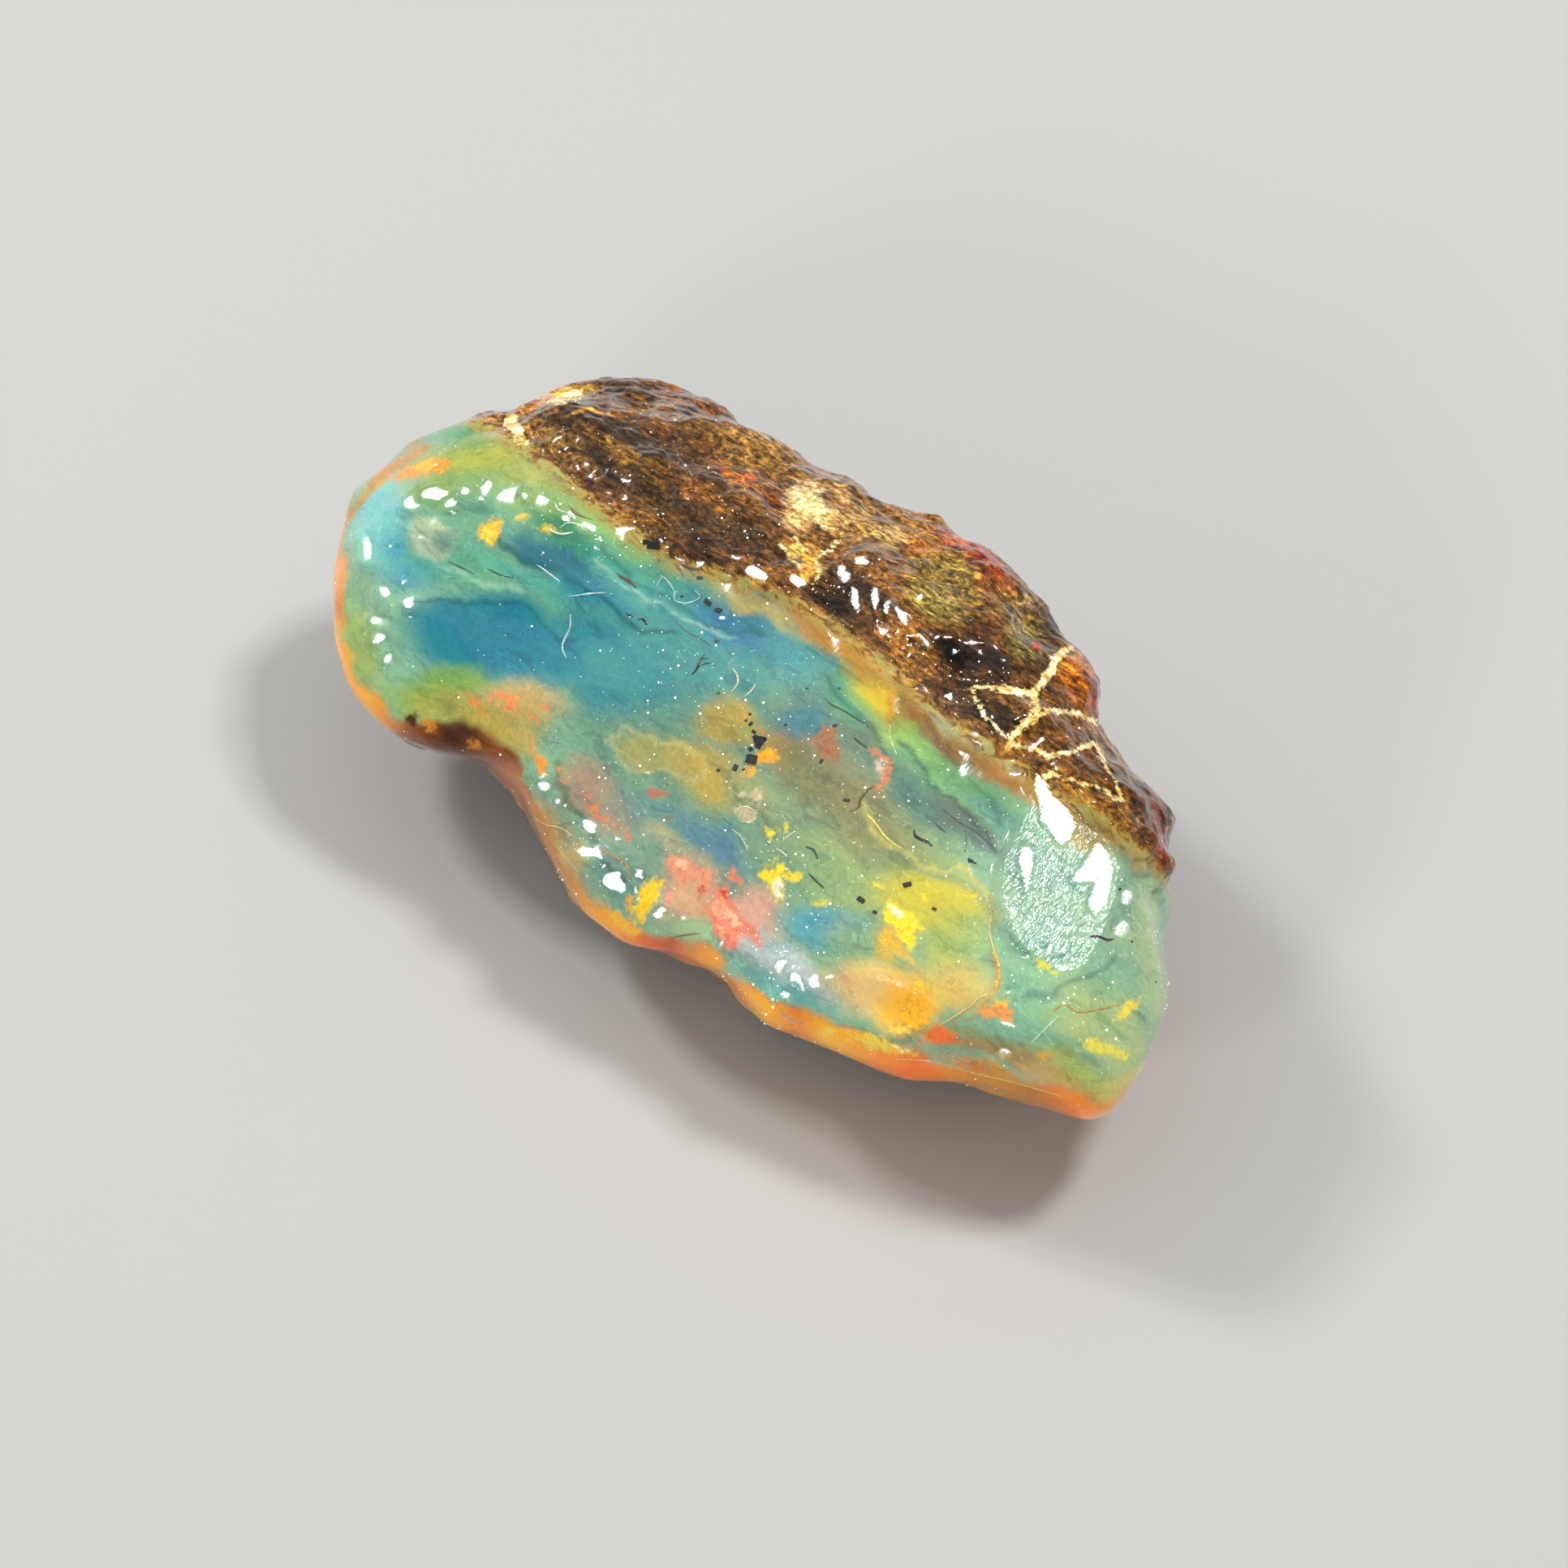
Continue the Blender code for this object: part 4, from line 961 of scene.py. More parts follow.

# %% [markdown]
# ## Colour in the crust
# The crust is resin that weathered and took up earth. It is painted the same way, from clouds
# over a brown ground, and the shader adds its streaks and grains. One near-black cloud is painted
# shade, the dark inside a cavity of the crust. Towards the thin end it is cracked into plates, and
# pale resin fills the cracks. Those are lines, so again a distance is painted, and the shader cuts
# it off.

# %% Paint the crust
CRUST_CLOUDS = [  # the columns are those of the resin's clouds
    (800, 585, 170, 48, -36, "#4C3C24", 0.7, 0.85),
    (760, 535, 66, 20, -30, "#3E3020", 0.6, 0.75),
    (905, 650, 60, 28, -36, "#5A4426", 0.7, 0.7),
    (895, 576, 14, 7, -30, "#E8862C", 0.5, 0.9), (926, 590, 12, 7, -30, "#E07A2A", 0.5, 0.9),
    (870, 612, 60, 10, -36, "#9C6A2E", 0.6, 0.8), (770, 560, 50, 9, -36, "#A8823C", 0.6, 0.8),
    (700, 560, 40, 12, -34, "#A88040", 0.6, 0.8),
    (860, 520, 120, 26, -36, "#94703E", 0.7, 0.8),
    (950, 560, 90, 22, -36, "#A8864C", 0.7, 0.8),
    (670, 540, 40, 22, -20, "#A88640", 0.6, 0.8),
    (965, 620, 22, 14, -30, "#6E1E0E", 0.5, 0.8),
    (1008, 622, 40, 22, -24, "#F4ECD4", 0.3, 0.95), (985, 640, 14, 18, 30, "#E8D4A4", 0.4, 0.9),
    (1040, 604, 20, 12, -20, "#D8BE84", 0.5, 0.85),
    (1050, 640, 30, 24, -30, "#CDB06C", 0.5, 0.8),
    (1000, 700, 13, 20, -10, "#FFD84A", 0.3, 1.0),
    (985, 678, 14, 9, 20, "#E9D67A", 0.4, 0.8),
    (700, 486, 40, 13, 14, "#FFDC3C", 0.35, 1.0),
    (668, 495, 26, 8, 20, "#D98F2C", 0.5, 0.8),
    (770, 480, 60, 14, 0, "#5A3A16", 0.6, 0.85),
    (850, 492, 50, 16, -25, "#8A4F1F", 0.6, 0.7),
    (735, 512, 30, 5, -8, "#F2B83A", 0.4, 0.9),
    (1140, 655, 70, 22, -30, "#C09244", 0.6, 0.8), (1150, 740, 34, 22, -30, "#ACA45C", 0.5, 0.85),
    (1098, 664, 30, 14, -10, "#D6C88C", 0.5, 0.85), (1133, 672, 20, 16, 0, "#D8842E", 0.6, 0.7),
    (1175, 715, 50, 34, -36, "#A39A5A", 0.6, 0.75),
    (1215, 700, 20, 42, 22, "#A6330F", 0.5, 0.95),
    (1190, 665, 40, 10, -35, "#C4531A", 0.5, 0.8),
    (1250, 755, 60, 20, -50, "#9C8450", 0.6, 0.75), (1262, 742, 12, 15, 0, "#DCCCA4", 0.5, 0.8),
    (1270, 790, 26, 22, 0, "#8E8A50", 0.5, 0.8),
    (1282, 790, 7, 6, 0, "#F04A12", 0.4, 0.9),
    (1310, 780, 14, 46, -20, "#2B1F16", 0.6, 0.8),
    (1060, 745, 60, 26, -40, "#2A211B", 0.5, 0.9),
    (1020, 740, 26, 9, -35, "#1D1713", 0.5, 0.9),
    # painted shade: the near-black inside the crust's cavity
    (1150, 812, 50, 28, -10, "#08080A", 0.35, 1.0),
    (1225, 822, 34, 14, -10, "#241A15", 0.5, 0.9),
    (1118, 800, 60, 22, -38, "#C08A3C", 0.6, 0.7),
    (1120, 850, 30, 40, 40, "#B98B3C", 0.6, 0.6),
    (1338, 850, 32, 42, 12, "#B8701C", 0.4, 0.95),
    (1352, 862, 15, 34, 8, "#9A2E0A", 0.5, 0.9),
    (1325, 822, 16, 16, 0, "#E8AA3A", 0.5, 0.8),
    (1225, 885, 34, 22, -20, "#2E2412", 0.4, 0.95),
    (1315, 905, 46, 20, -8, "#84592C", 0.4, 0.95),
    (1200, 860, 26, 16, -20, "#4A3A24", 0.5, 0.8),
    (1355, 955, 62, 22, -34, "#7A541C", 0.4, 0.95),
    (1410, 990, 46, 24, -50, "#55301A", 0.5, 0.9),
    (1432, 1030, 14, 60, 8, "#8E3A12", 0.5, 0.9),
    (1330, 985, 60, 12, -30, "#B88A3A", 0.5, 0.8),
    (1180, 905, 40, 9, -40, "#8E3A18", 0.5, 0.8),
]
CRUST_CLOUD_DEPTH = 6  # mm
EARTH, PALE_EARTH, DARK_EARTH = "#8A6232", "#B8863E", "#5A3A20"
EARTH_SIZE = 4.0  # mm, of the broad light and dark patches
EARTH_CONTRAST = 1.8

broadly = np.array([noise.noise(Vector(spot) / EARTH_SIZE) for spot in broad])[:, None]
paler = smooth_step(broadly * EARTH_CONTRAST) * (rgb(PALE_EARTH) - rgb(EARTH))
darker = smooth_step(-broadly * EARTH_CONTRAST) * (rgb(DARK_EARTH) - rgb(EARTH))
crust_paint = rgb(EARTH) + paler + darker
lay_clouds(crust_paint, flowing, CRUST_CLOUDS, CRUST_CLOUD_DEPTH)
print("clouds in the crust:", len(CRUST_CLOUDS))

# %% Draw the crust's pale veins
VEINS = [  # half width in pixels, then the line's corners
    (5, [(1233, 852), (1254, 853), (1274, 856), (1290, 834), (1300, 812), (1318, 800)]),
    (4, [(1274, 856), (1278, 870), (1275, 884), (1262, 896), (1244, 915), (1238, 930)]),
    (3, [(1262, 896), (1282, 884), (1300, 878), (1330, 882), (1352, 890)]),
    (3, [(1244, 915), (1262, 924), (1280, 930), (1296, 934), (1320, 928), (1348, 915)]),
    (2, [(1296, 940), (1300, 954), (1330, 966), (1360, 976), (1384, 990)]),
    (2, [(1348, 917), (1358, 936), (1366, 952), (1374, 970), (1384, 990)]),
    (3, [(1300, 954), (1286, 962), (1272, 972)]),
    (3, [(1233, 852), (1214, 846), (1198, 850)]),
    (2, [(1198, 850), (1204, 870), (1222, 892), (1244, 915)]),
    (6, [(684, 491), (700, 486), (714, 483)]),
    (8, [(629, 518), (638, 530), (642, 544)]),
    (2, [(978, 664), (990, 676), (1004, 690), (1012, 706), (1004, 722)]),
    (2, [(1004, 690), (1022, 676), (1034, 664)]),
    (2, [(960, 672), (974, 688), (984, 700), (992, 716)]),
]
VEIN_WARP_SIZE, VEIN_WARP = 0.9, 0.4  # mm
VEINS_END = 3  # mm behind the rim, past which there is no vein

vein_pixels, _ = measure(warp(points, VEIN_WARP_SIZE, VEIN_WARP))
vein_edge = np.max([beside_line(vein_pixels, corners, width) for width, corners in VEINS], axis=0)
vein_edge = np.minimum(vein_edge, in_front + VEINS_END)
print("veins:", len(VEINS))

# %% [markdown]
# ## Where the resin sparkles
# Pin-point bubbles sit at the skin in swarms, thickest round the great facet. Their share at each
# point is one more thing to paint, from wide soft spots, and the bubbles are scattered by it later.
# It is 0 close to the box of the frame's solid, so that no bubble stands out of that box.

# %% Paint where the resin sparkles
SPARKLE_CLOUDS = [  # pixel across, pixel down, half length, half width, turn, strength
    (980, 970, 300, 130, -36, 0.5), (900, 880, 120, 60, -36, 1.0), (980, 1080, 60, 40, -30, 1.6),
    (1290, 1130, 60, 70, 20, 2.6), (1160, 1000, 120, 60, -40, 0.6), (740, 660, 130, 30, -30, 0.7),
    (860, 620, 200, 70, -36, 0.5), (960, 1180, 60, 60, -36, 1.2), (740, 1040, 60, 60, -50, 0.8),
    (1330, 1230, 90, 90, 0, 0.5), (1090, 770, 110, 40, -40, 0.8), (1180, 850, 80, 40, -40, 0.9),
]
EVERYWHERE = 0.03  # the sparkle that the whole skin has
BOX_MARGIN = 0.15  # mm

sparkle = np.full(len(points), EVERYWHERE)
for *cloud, strength in SPARKLE_CLOUDS:
    along, beside = in_ellipse(pixels, *cloud)
    sparkle += strength * np.exp(-(along ** 2 + beside ** 2)) * near_side
inner = np.clip(points, box_low + BOX_MARGIN, box_high - BOX_MARGIN)
sparkle[np.abs(points - inner).max(axis=1) > 0] = 0
print("the sparkle goes up to", round(float(sparkle.max()), 1))

# %% [markdown]
# ## The paint stays on the skin
# Everything painted so far is a list of numbers, one for each point. Stored as attributes of the
# mesh, they are smoothed between the points, they need no unwrapping, and the material and the
# Geometry Nodes below can both read them by name.


# %% Keep the paint on the skin
def keep_colour(name, colours):
    """Stores linear colours on the stone's points."""
    layer = stone.data.attributes.new(name, "FLOAT_COLOR", "POINT")
    layer.data.foreach_set("color", np.column_stack([colours, np.ones(len(colours))]).ravel())


def keep_distance(name, values):
    """Stores one number on each of the stone's points."""
    stone.data.attributes.new(name, "FLOAT", "POINT").data.foreach_set("value", values)


keep_distance("crust_depth", crust)
keep_colour("resin", resin)
keep_colour("flake", flake)
keep_colour("crust", crust_paint)
keep_distance("flake_edge", flake_edge)
keep_distance("vein_edge", vein_edge)
keep_distance("sparkle", sparkle)
keep_distance("rippled", rippled)
print("attributes:", [attribute.name for attribute in stone.data.attributes])

# %% [markdown]
# ## The amber material
# Amber is a natural resin, polished here by water and handling. It has an index of refraction of
# 1.54 and a wet gloss. It is see-through: light that goes in is partly scattered by tiny bubbles,
# which gives the milky glow, and partly passes on through, losing its blue on the way, which gives
# it a honey colour. The orange glow along the rim and the underside is also painted light, put
# into the painted colour above. So the shader is part glass and part scattering, and it has a
# plain absorbing volume. The crust turns off the glass. Its patterns are laid out in millimetres,
# and those that run along the stone read turned coordinates.


# %% Coordinates in millimetres
def turned(along):
    """The turn that lays a pattern's length along one direction of the view."""
    return Matrix((along, TOWARDS.cross(along), TOWARDS)).transposed().to_euler()


amber, tree = start_material("water_worn_blue_amber")
place = node(tree, "ShaderNodeTexCoord").outputs["Object"]
in_mm = node(tree, "ShaderNodeVectorMath", {
    0: place, "Scale": 1 / MM,
}, operation="SCALE").outputs[0]
painted = {}
for name in ("resin", "flake", "crust"):
    painted[name] = node(tree, "ShaderNodeAttribute", attribute_name=name).outputs["Color"]
for name in ("crust_depth", "flake_edge", "vein_edge", "rippled"):
    painted[name] = node(tree, "ShaderNodeAttribute", attribute_name=name).outputs["Fac"]
print("paint that the material reads:", list(painted))

# %% [markdown]
# The clouds give the resin its colours, and noise that is stretched along the stone gives it the
# flow lines between them: a colour ramp with a few narrow stops turns each level of the noise into
# a hair-thin dark or pale line, as the edges of thin sheets of resin are. A finer noise, the haze,
# stands for the specks in the resin. Real specks are a few hundredths of a millimetre across, too
# fine to show here, so the haze is drawn a quarter of a millimetre coarse.

# %% The resin: flows with thin lines along them
FLOW_LENGTH, FLOW_WIDTH = 3.0, 1.1  # mm
GRAIN_SIZE = 0.25  # mm
FLOW_LINES, HAZE = 0.5, 0.15  # how strongly each is laid over the clouds

flow_place = node(tree, "ShaderNodeMapping", {
    "Vector": in_mm, "Rotation": turned(LENGTHWAYS),
    "Scale": (FLOW_LENGTH, FLOW_WIDTH, FLOW_WIDTH * 2),
}, vector_type="TEXTURE").outputs[0]
flow = node(tree, "ShaderNodeTexNoise", {
    "Vector": flow_place, "Scale": 1.0, "Detail": 3.0, "Roughness": 0.6, "Distortion": 0.6,
}).outputs["Fac"]
grain = node(tree, "ShaderNodeTexNoise", {
    "Vector": in_mm, "Scale": 1 / GRAIN_SIZE, "Detail": 2.0, "Roughness": 0.6,
}).outputs["Fac"]
flow_tint = node(tree, "ShaderNodeValToRGB", {"Fac": flow}, stops=[
    (0.25, "#4E6C74"), (0.40, "#98A8A2"), (0.410, "#D6E2DA"), (0.422, "#A4B0A8"),
    (0.470, "#B2BAAE"), (0.478, "#7E8A6E"), (0.486, "#B6BCAE"), (0.545, "#C0C0AE"),
    (0.552, "#E8E4C0"), (0.560, "#C2C2AC"), (0.62, "#CCC8A8"), (0.80, "#E2D6A8"),
]).outputs[0]
flowing_resin = node(tree, "ShaderNodeMix", {
    0: FLOW_LINES, 6: painted["resin"], 7: flow_tint,
}, data_type="RGBA", blend_type="OVERLAY").outputs[2]
haze = node(tree, "ShaderNodeValToRGB", {"Fac": grain}, stops=[
    (0.30, "#6E7468"), (0.50, "#BCBCB8"), (0.70, "#E8E6D6"),
]).outputs[0]
resin_colour = node(tree, "ShaderNodeMix", {
    0: HAZE, 6: flowing_resin, 7: haze,
}, data_type="RGBA", blend_type="OVERLAY").outputs[2]
print("nodes in the resin:", len(tree.nodes))

# %% [markdown]
# A flake starts where its painted distance passes 0. The grain is added to that distance first, so
# the edge comes out ragged, as a crack's is, and a short even step keeps it from looking cut with
# scissors. Within a flake the grain darkens some specks, where the crack isn't open.

# %% Flakes with ragged edges
EDGE_RAGGEDNESS = 0.5  # mm
FLAKE_STARTS = EDGE_RAGGEDNESS / 2 - 0.12  # mm
FLAKE_IS_FULL = EDGE_RAGGEDNESS / 2 + 0.20  # mm
FLAKE_SPECKS = 0.5

ragged_flake = node(tree, "ShaderNodeMath", {
    0: grain, 1: EDGE_RAGGEDNESS, 2: painted["flake_edge"],
}, operation="MULTIPLY_ADD").outputs[0]
in_flake = node(tree, "ShaderNodeMapRange", {
    "Value": ragged_flake, "From Min": FLAKE_STARTS, "From Max": FLAKE_IS_FULL,
}, interpolation_type="SMOOTHSTEP").outputs[0]
flake_tint = node(tree, "ShaderNodeValToRGB", {"Fac": grain}, stops=[
    (0.30, "#C89A70"), (0.45, "#F0E2D0"), (0.60, "#FFFFFF"), (0.75, "#FFFFFF"),
]).outputs[0]
flake_colour = node(tree, "ShaderNodeMix", {
    0: FLAKE_SPECKS, 6: painted["flake"], 7: flake_tint,
}, data_type="RGBA", blend_type="MULTIPLY").outputs[2]
clear_colour = node(tree, "ShaderNodeMix", {
    0: in_flake, 6: resin_colour, 7: flake_colour,
}, data_type="RGBA").outputs[2]
print("nodes with the flakes:", len(tree.nodes))

# %% [markdown]
# Weathered crust is never one brown. Three patterns break up its painted ground: long streaks, as
# the furrows run, a mottling between them, and the grains of earth. Each turns a noise into tones
# from dark to pale and is laid over what is there. Earth is finer than the quarter millimetre of
# the grain, which is as fine as shows here. It gives the eye a dull, gritty, dark skin that makes
# the clear side look deeper.

# %% The crust: streaks, mottling and grains
STREAK_LENGTH, STREAK_WIDTH = 1.3, 0.4  # mm
MOTTLE_LENGTH, MOTTLE_WIDTH = 1.6, 0.8  # mm

streak_place = node(tree, "ShaderNodeMapping", {
    "Vector": in_mm, "Rotation": turned(LENGTHWAYS),
    "Scale": (STREAK_LENGTH, STREAK_WIDTH, STREAK_WIDTH * 2),
}, vector_type="TEXTURE").outputs[0]
streaks = node(tree, "ShaderNodeTexNoise", {
    "Vector": streak_place, "Scale": 1.0, "Detail": 3.0, "Roughness": 0.7, "Distortion": 1.6,
}).outputs["Fac"]
mottle_place = node(tree, "ShaderNodeMapping", {
    "Vector": in_mm, "Rotation": turned(LENGTHWAYS),
    "Scale": (MOTTLE_LENGTH, MOTTLE_WIDTH, MOTTLE_WIDTH * 2),
}, vector_type="TEXTURE").outputs[0]
mottle = node(tree, "ShaderNodeTexNoise", {
    "Vector": mottle_place, "Scale": 1.0, "Detail": 2.0, "Roughness": 0.6, "Distortion": 2.5,
}).outputs["Fac"]
crust_colour = painted["crust"]
for factor, strength, blend, stops in (
    (streaks, 0.85, "OVERLAY", [(0.30, "#4A423A"), (0.43, "#7E766A"), (0.52, "#ACA496"),
                                (0.60, "#D6CCB4"), (0.72, "#FAF2D8")]),
    (mottle, 0.8, "OVERLAY", [(0.34, "#3A3530"), (0.46, "#969082"), (0.54, "#BCB29E"),
                              (0.66, "#ECE2C4")]),
    (grain, 0.7, "MULTIPLY", [(0.32, "#48403A"), (0.47, "#C4BCAE"), (0.58, "#FFFFFF"),
                              (0.8, "#FFFFFF")]),
):
    tint = node(tree, "ShaderNodeValToRGB", {"Fac": factor}, stops=stops).outputs[0]
    crust_colour = node(tree, "ShaderNodeMix", {
        0: strength, 6: crust_colour, 7: tint,
    }, data_type="RGBA", blend_type=blend).outputs[2]
print("nodes with the crust:", len(tree.nodes))

# %% [markdown]
# The veins are resin that filled the cracks between the crust's plates, so they are pale and
# honey-coloured, brighter where they are thick. They are cut off at their painted distance in the
# same way as the flakes, with a shorter step, because they are only a few tenths of a millimetre
# wide.

# %% Veins of pale resin in the crust
VEIN_STARTS = EDGE_RAGGEDNESS / 2 - 0.06  # mm
VEIN_IS_FULL = EDGE_RAGGEDNESS / 2 + 0.08  # mm

ragged_vein = node(tree, "ShaderNodeMath", {
    0: grain, 1: EDGE_RAGGEDNESS, 2: painted["vein_edge"],
}, operation="MULTIPLY_ADD").outputs[0]
in_vein = node(tree, "ShaderNodeMapRange", {
    "Value": ragged_vein, "From Min": VEIN_STARTS, "From Max": VEIN_IS_FULL,
}, interpolation_type="SMOOTHSTEP").outputs[0]
vein_colour = node(tree, "ShaderNodeValToRGB", {"Fac": mottle}, stops=[
    (0.36, "#BE8A38"), (0.48, "#E6CC78"), (0.62, "#F4ECC0"),
]).outputs[0]
crust_colour = node(tree, "ShaderNodeMix", {
    0: in_vein, 6: crust_colour, 7: vein_colour,
}, data_type="RGBA").outputs[2]
print("nodes with the veins:", len(tree.nodes))

# %% [markdown]
# The skin carries its depth in the crust as an attribute. Some noise is added to it before it is
# turned into a mask, so the crust's border comes out ragged, finer than the skin's own faces. A
# second, wider step along the same measure stains the resin brown and yellow next to the crust.

# %% Where the crust starts, and the stain beside it
BORDER_RAGGEDNESS = 1.6  # mm
CRUST_STARTS = BORDER_RAGGEDNESS / 2 - 0.15  # mm
CRUST_IS_FULL = BORDER_RAGGEDNESS / 2 + 0.25  # mm
STAIN_WIDTH = 0.9  # mm

ragged = node(tree, "ShaderNodeMath", {
    0: streaks, 1: BORDER_RAGGEDNESS, 2: painted["crust_depth"],
}, operation="MULTIPLY_ADD").outputs[0]
in_crust = node(tree, "ShaderNodeMapRange", {
    "Value": ragged, "From Min": CRUST_STARTS, "From Max": CRUST_IS_FULL,
}, interpolation_type="SMOOTHSTEP").outputs[0]
in_stain = node(tree, "ShaderNodeMapRange", {
    "Value": ragged,
    "From Min": BORDER_RAGGEDNESS / 2 - STAIN_WIDTH, "From Max": BORDER_RAGGEDNESS / 2,
}, interpolation_type="SMOOTHSTEP").outputs[0]
stain = node(tree, "ShaderNodeValToRGB", {"Fac": mottle}, stops=[
    (0.36, "#7A4A1C"), (0.45, "#A88234"), (0.53, "#C8A44C"), (0.60, "#9CA04C"), (0.70, "#B8BC6A"),
]).outputs[0]
stained = node(tree, "ShaderNodeMix", {
    0: in_stain, 6: clear_colour, 7: stain,
}, data_type="RGBA").outputs[2]
colour = node(tree, "ShaderNodeMix", {
    0: in_crust, 6: stained, 7: crust_colour,
}, data_type="RGBA").outputs[2]
print("nodes with the stain:", len(tree.nodes))

# %% [markdown]
# A worn resin skin has hair-fine ripples, and the broken face of the great facet has much higher
# ones. They are a fifth of a millimetre wide, finer than the mesh, so a bump node draws them: it
# leaves the shape alone and only bends the light. Real ones are often finer still, and these are as
# coarse as they need to be to show. They tear the lamps' images into strips and dots.

# %% Ripples, too fine for the mesh
RIPPLE_LENGTH, RIPPLE_WIDTH, RIPPLE_HEIGHT = 0.7, 0.22, 0.008  # mm
SHELL_HEIGHT = 0.1  # mm, of the ripples on the great facet
RIPPLE_CREST = in_picture(52)  # the way that their crests run

ripple_place = node(tree, "ShaderNodeMapping", {
    "Vector": in_mm, "Rotation": turned(RIPPLE_CREST),
    "Scale": (RIPPLE_LENGTH, RIPPLE_WIDTH, RIPPLE_WIDTH * 2),
}, vector_type="TEXTURE").outputs[0]
ripples = node(tree, "ShaderNodeTexNoise", {
    "Vector": ripple_place, "Scale": 1.0, "Detail": 2.0,
}).outputs["Fac"]
rise = node(tree, "ShaderNodeMath", {
    0: painted["rippled"], 1: SHELL_HEIGHT / RIPPLE_HEIGHT, 2: 1.0,
}, operation="MULTIPLY_ADD").outputs[0]
height = node(tree, "ShaderNodeMath", {0: ripples, 1: rise}, operation="MULTIPLY").outputs[0]
bumped = node(tree, "ShaderNodeBump", {
    "Height": height, "Distance": RIPPLE_HEIGHT * MM, "Strength": 1.0,
}).outputs[0]
print("nodes with the ripples:", len(tree.nodes))

# %% [markdown]
# Now the parts come together. The clear coat is the film of water and polish, which gives the
# sharp white lights. Under it the resin is a little rough, so nothing clear is seen through it,
# and it scatters light over about half a millimetre, which makes it milky. The real stone also
# glows with light that has gone in elsewhere, and a little light of its own stands for that here.

# %% The shader itself
AMBER_IOR, WATER_IOR = 1.54, 1.33
CLEARNESS = 0.35  # share of the light that goes straight through where there is no crust
MILKINESS, MILK_DEPTH = 0.35, 0.6  # share of the light that it scatters, and how far in mm
GLOW = 0.3  # light of its own
HONEY_DENSITY = 60.0  # to a metre of resin that the light goes through

clear = node(tree, "ShaderNodeMath", {
    0: in_crust, 1: -CLEARNESS, 2: CLEARNESS,
}, operation="MULTIPLY_ADD").outputs[0]
feed(tree, tree.nodes["Principled BSDF"], {
    "Base Color": colour,
    "Roughness": 0.18,
    "IOR": AMBER_IOR,
    "Subsurface Weight": MILKINESS,
    "Subsurface Radius": (1.0, 0.8, 0.5),
    "Subsurface Scale": MILK_DEPTH * MM,
    "Transmission Weight": clear,
    "Coat Weight": 0.8,
    "Coat Roughness": 0.03,
    "Coat IOR": WATER_IOR,
    "Specular IOR Level": 0.15,
    "Normal": bumped,
    "Coat Normal": bumped,
    "Emission Color": colour,
    "Emission Strength": GLOW,
})
honey_volume = node(tree, "ShaderNodeVolumeAbsorption", {
    "Color": linear("#F4B45A"), "Density": HONEY_DENSITY,
}).outputs[0]
feed(tree, tree.nodes["Material Output"], {"Volume": honey_volume})
amber.cycles.emission_sampling = "NONE"  # the glow is too weak to light anything else
stone.data.materials.clear()
stone.data.materials.append(amber)
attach(stone, "root")
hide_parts("amber")
print("nodes in the amber material:", len(tree.nodes))

# %% [markdown]
# ## Threads and crumbs
# The resin ran down bark before it set, so it holds shreds of plants: dark threads, some with
# branches, and crumbs. It also has pale scars, where two flows met. They lie at the skin or just
# below it. A thread is a thin tube along a smooth line through a few given points. It could
# be a curve with a bevel, but a tube of its own faces can thin out towards its ends.

# %% A tube that follows the stone
TUBE_SIDES = 6
STEP = 3  # pixels between a tube's rings
THIN_END = 0.35  # how thick a tube is at its ends, next to its middle
UNEVENNESS = 0.4  # how much its thickness varies on the way


def smooth_line(corners):
    """Points every few pixels along a curve through the corners."""
    corners = [Vector(corner) for corner in corners]
    padded = [corners[0] * 2 - corners[1], *corners, corners[-1] * 2 - corners[-2]]
    line = []
    for before, start, end, after in zip(padded, padded[1:], padded[2:], padded[3:]):
        steps = max(2, round((end - start).length / STEP))
        slope = end - before
        bend = before * 2 - start * 5 + end * 4 - after
        twist = start * 3 - before - end * 3 + after
        for t in (i / steps for i in range(steps)):
            line.append((start * 2 + slope * t + bend * t * t + twist * t ** 3) / 2)
    return [*line, corners[-1]]


def add_tube(bm, corners, radius, sunk):
    """Adds one thread to a mesh: a tube that lies in the skin and thins towards both ends."""
    spots = [on_stone(*spot, sunk) for spot in smooth_line(corners)]
    rings = []
    for i, (spot, normal) in enumerate(spots):
        ahead = spots[min(i + 1, len(spots) - 1)][0] - spots[max(i - 1, 0)][0]
        side = ahead.cross(normal).normalized()
        lift = side.cross(ahead).normalized()
        swell = math.sin(math.pi * (i + 0.5) / len(spots)) ** 0.5
        thickness = radius * (THIN_END + (1 - THIN_END) * swell)
        thickness *= 1 + UNEVENNESS * noise.noise(spot * 3)
        rings.append([
            bm.verts.new((spot + (side * math.cos(turn) + lift * math.sin(turn)) * thickness) * MM)
            for turn in (2 * math.pi * k / TUBE_SIDES for k in range(TUBE_SIDES))
        ])
    for ring, following in zip(rings, rings[1:]):
        for k in range(TUBE_SIDES):
            around = (k + 1) % TUBE_SIDES
            bm.faces.new((ring[k], ring[around], following[around], following[k]))
    bm.faces.new(reversed(rings[0]))
    bm.faces.new(rings[-1])
    return [vertex for ring in rings for vertex in ring]


print("points on a line 30 pixels long:", len(smooth_line([(0, 0), (30, 0)])))

# %% [markdown]
# Each row below is one thread. The dark ones are bark fibres and rootlets, the yellow and cream
# ones are the scars where flows met, and the palest are hair-thin wisps of trapped air. Each mesh
# vertex keeps its thread's colour, so that all of them can be one object with one material.

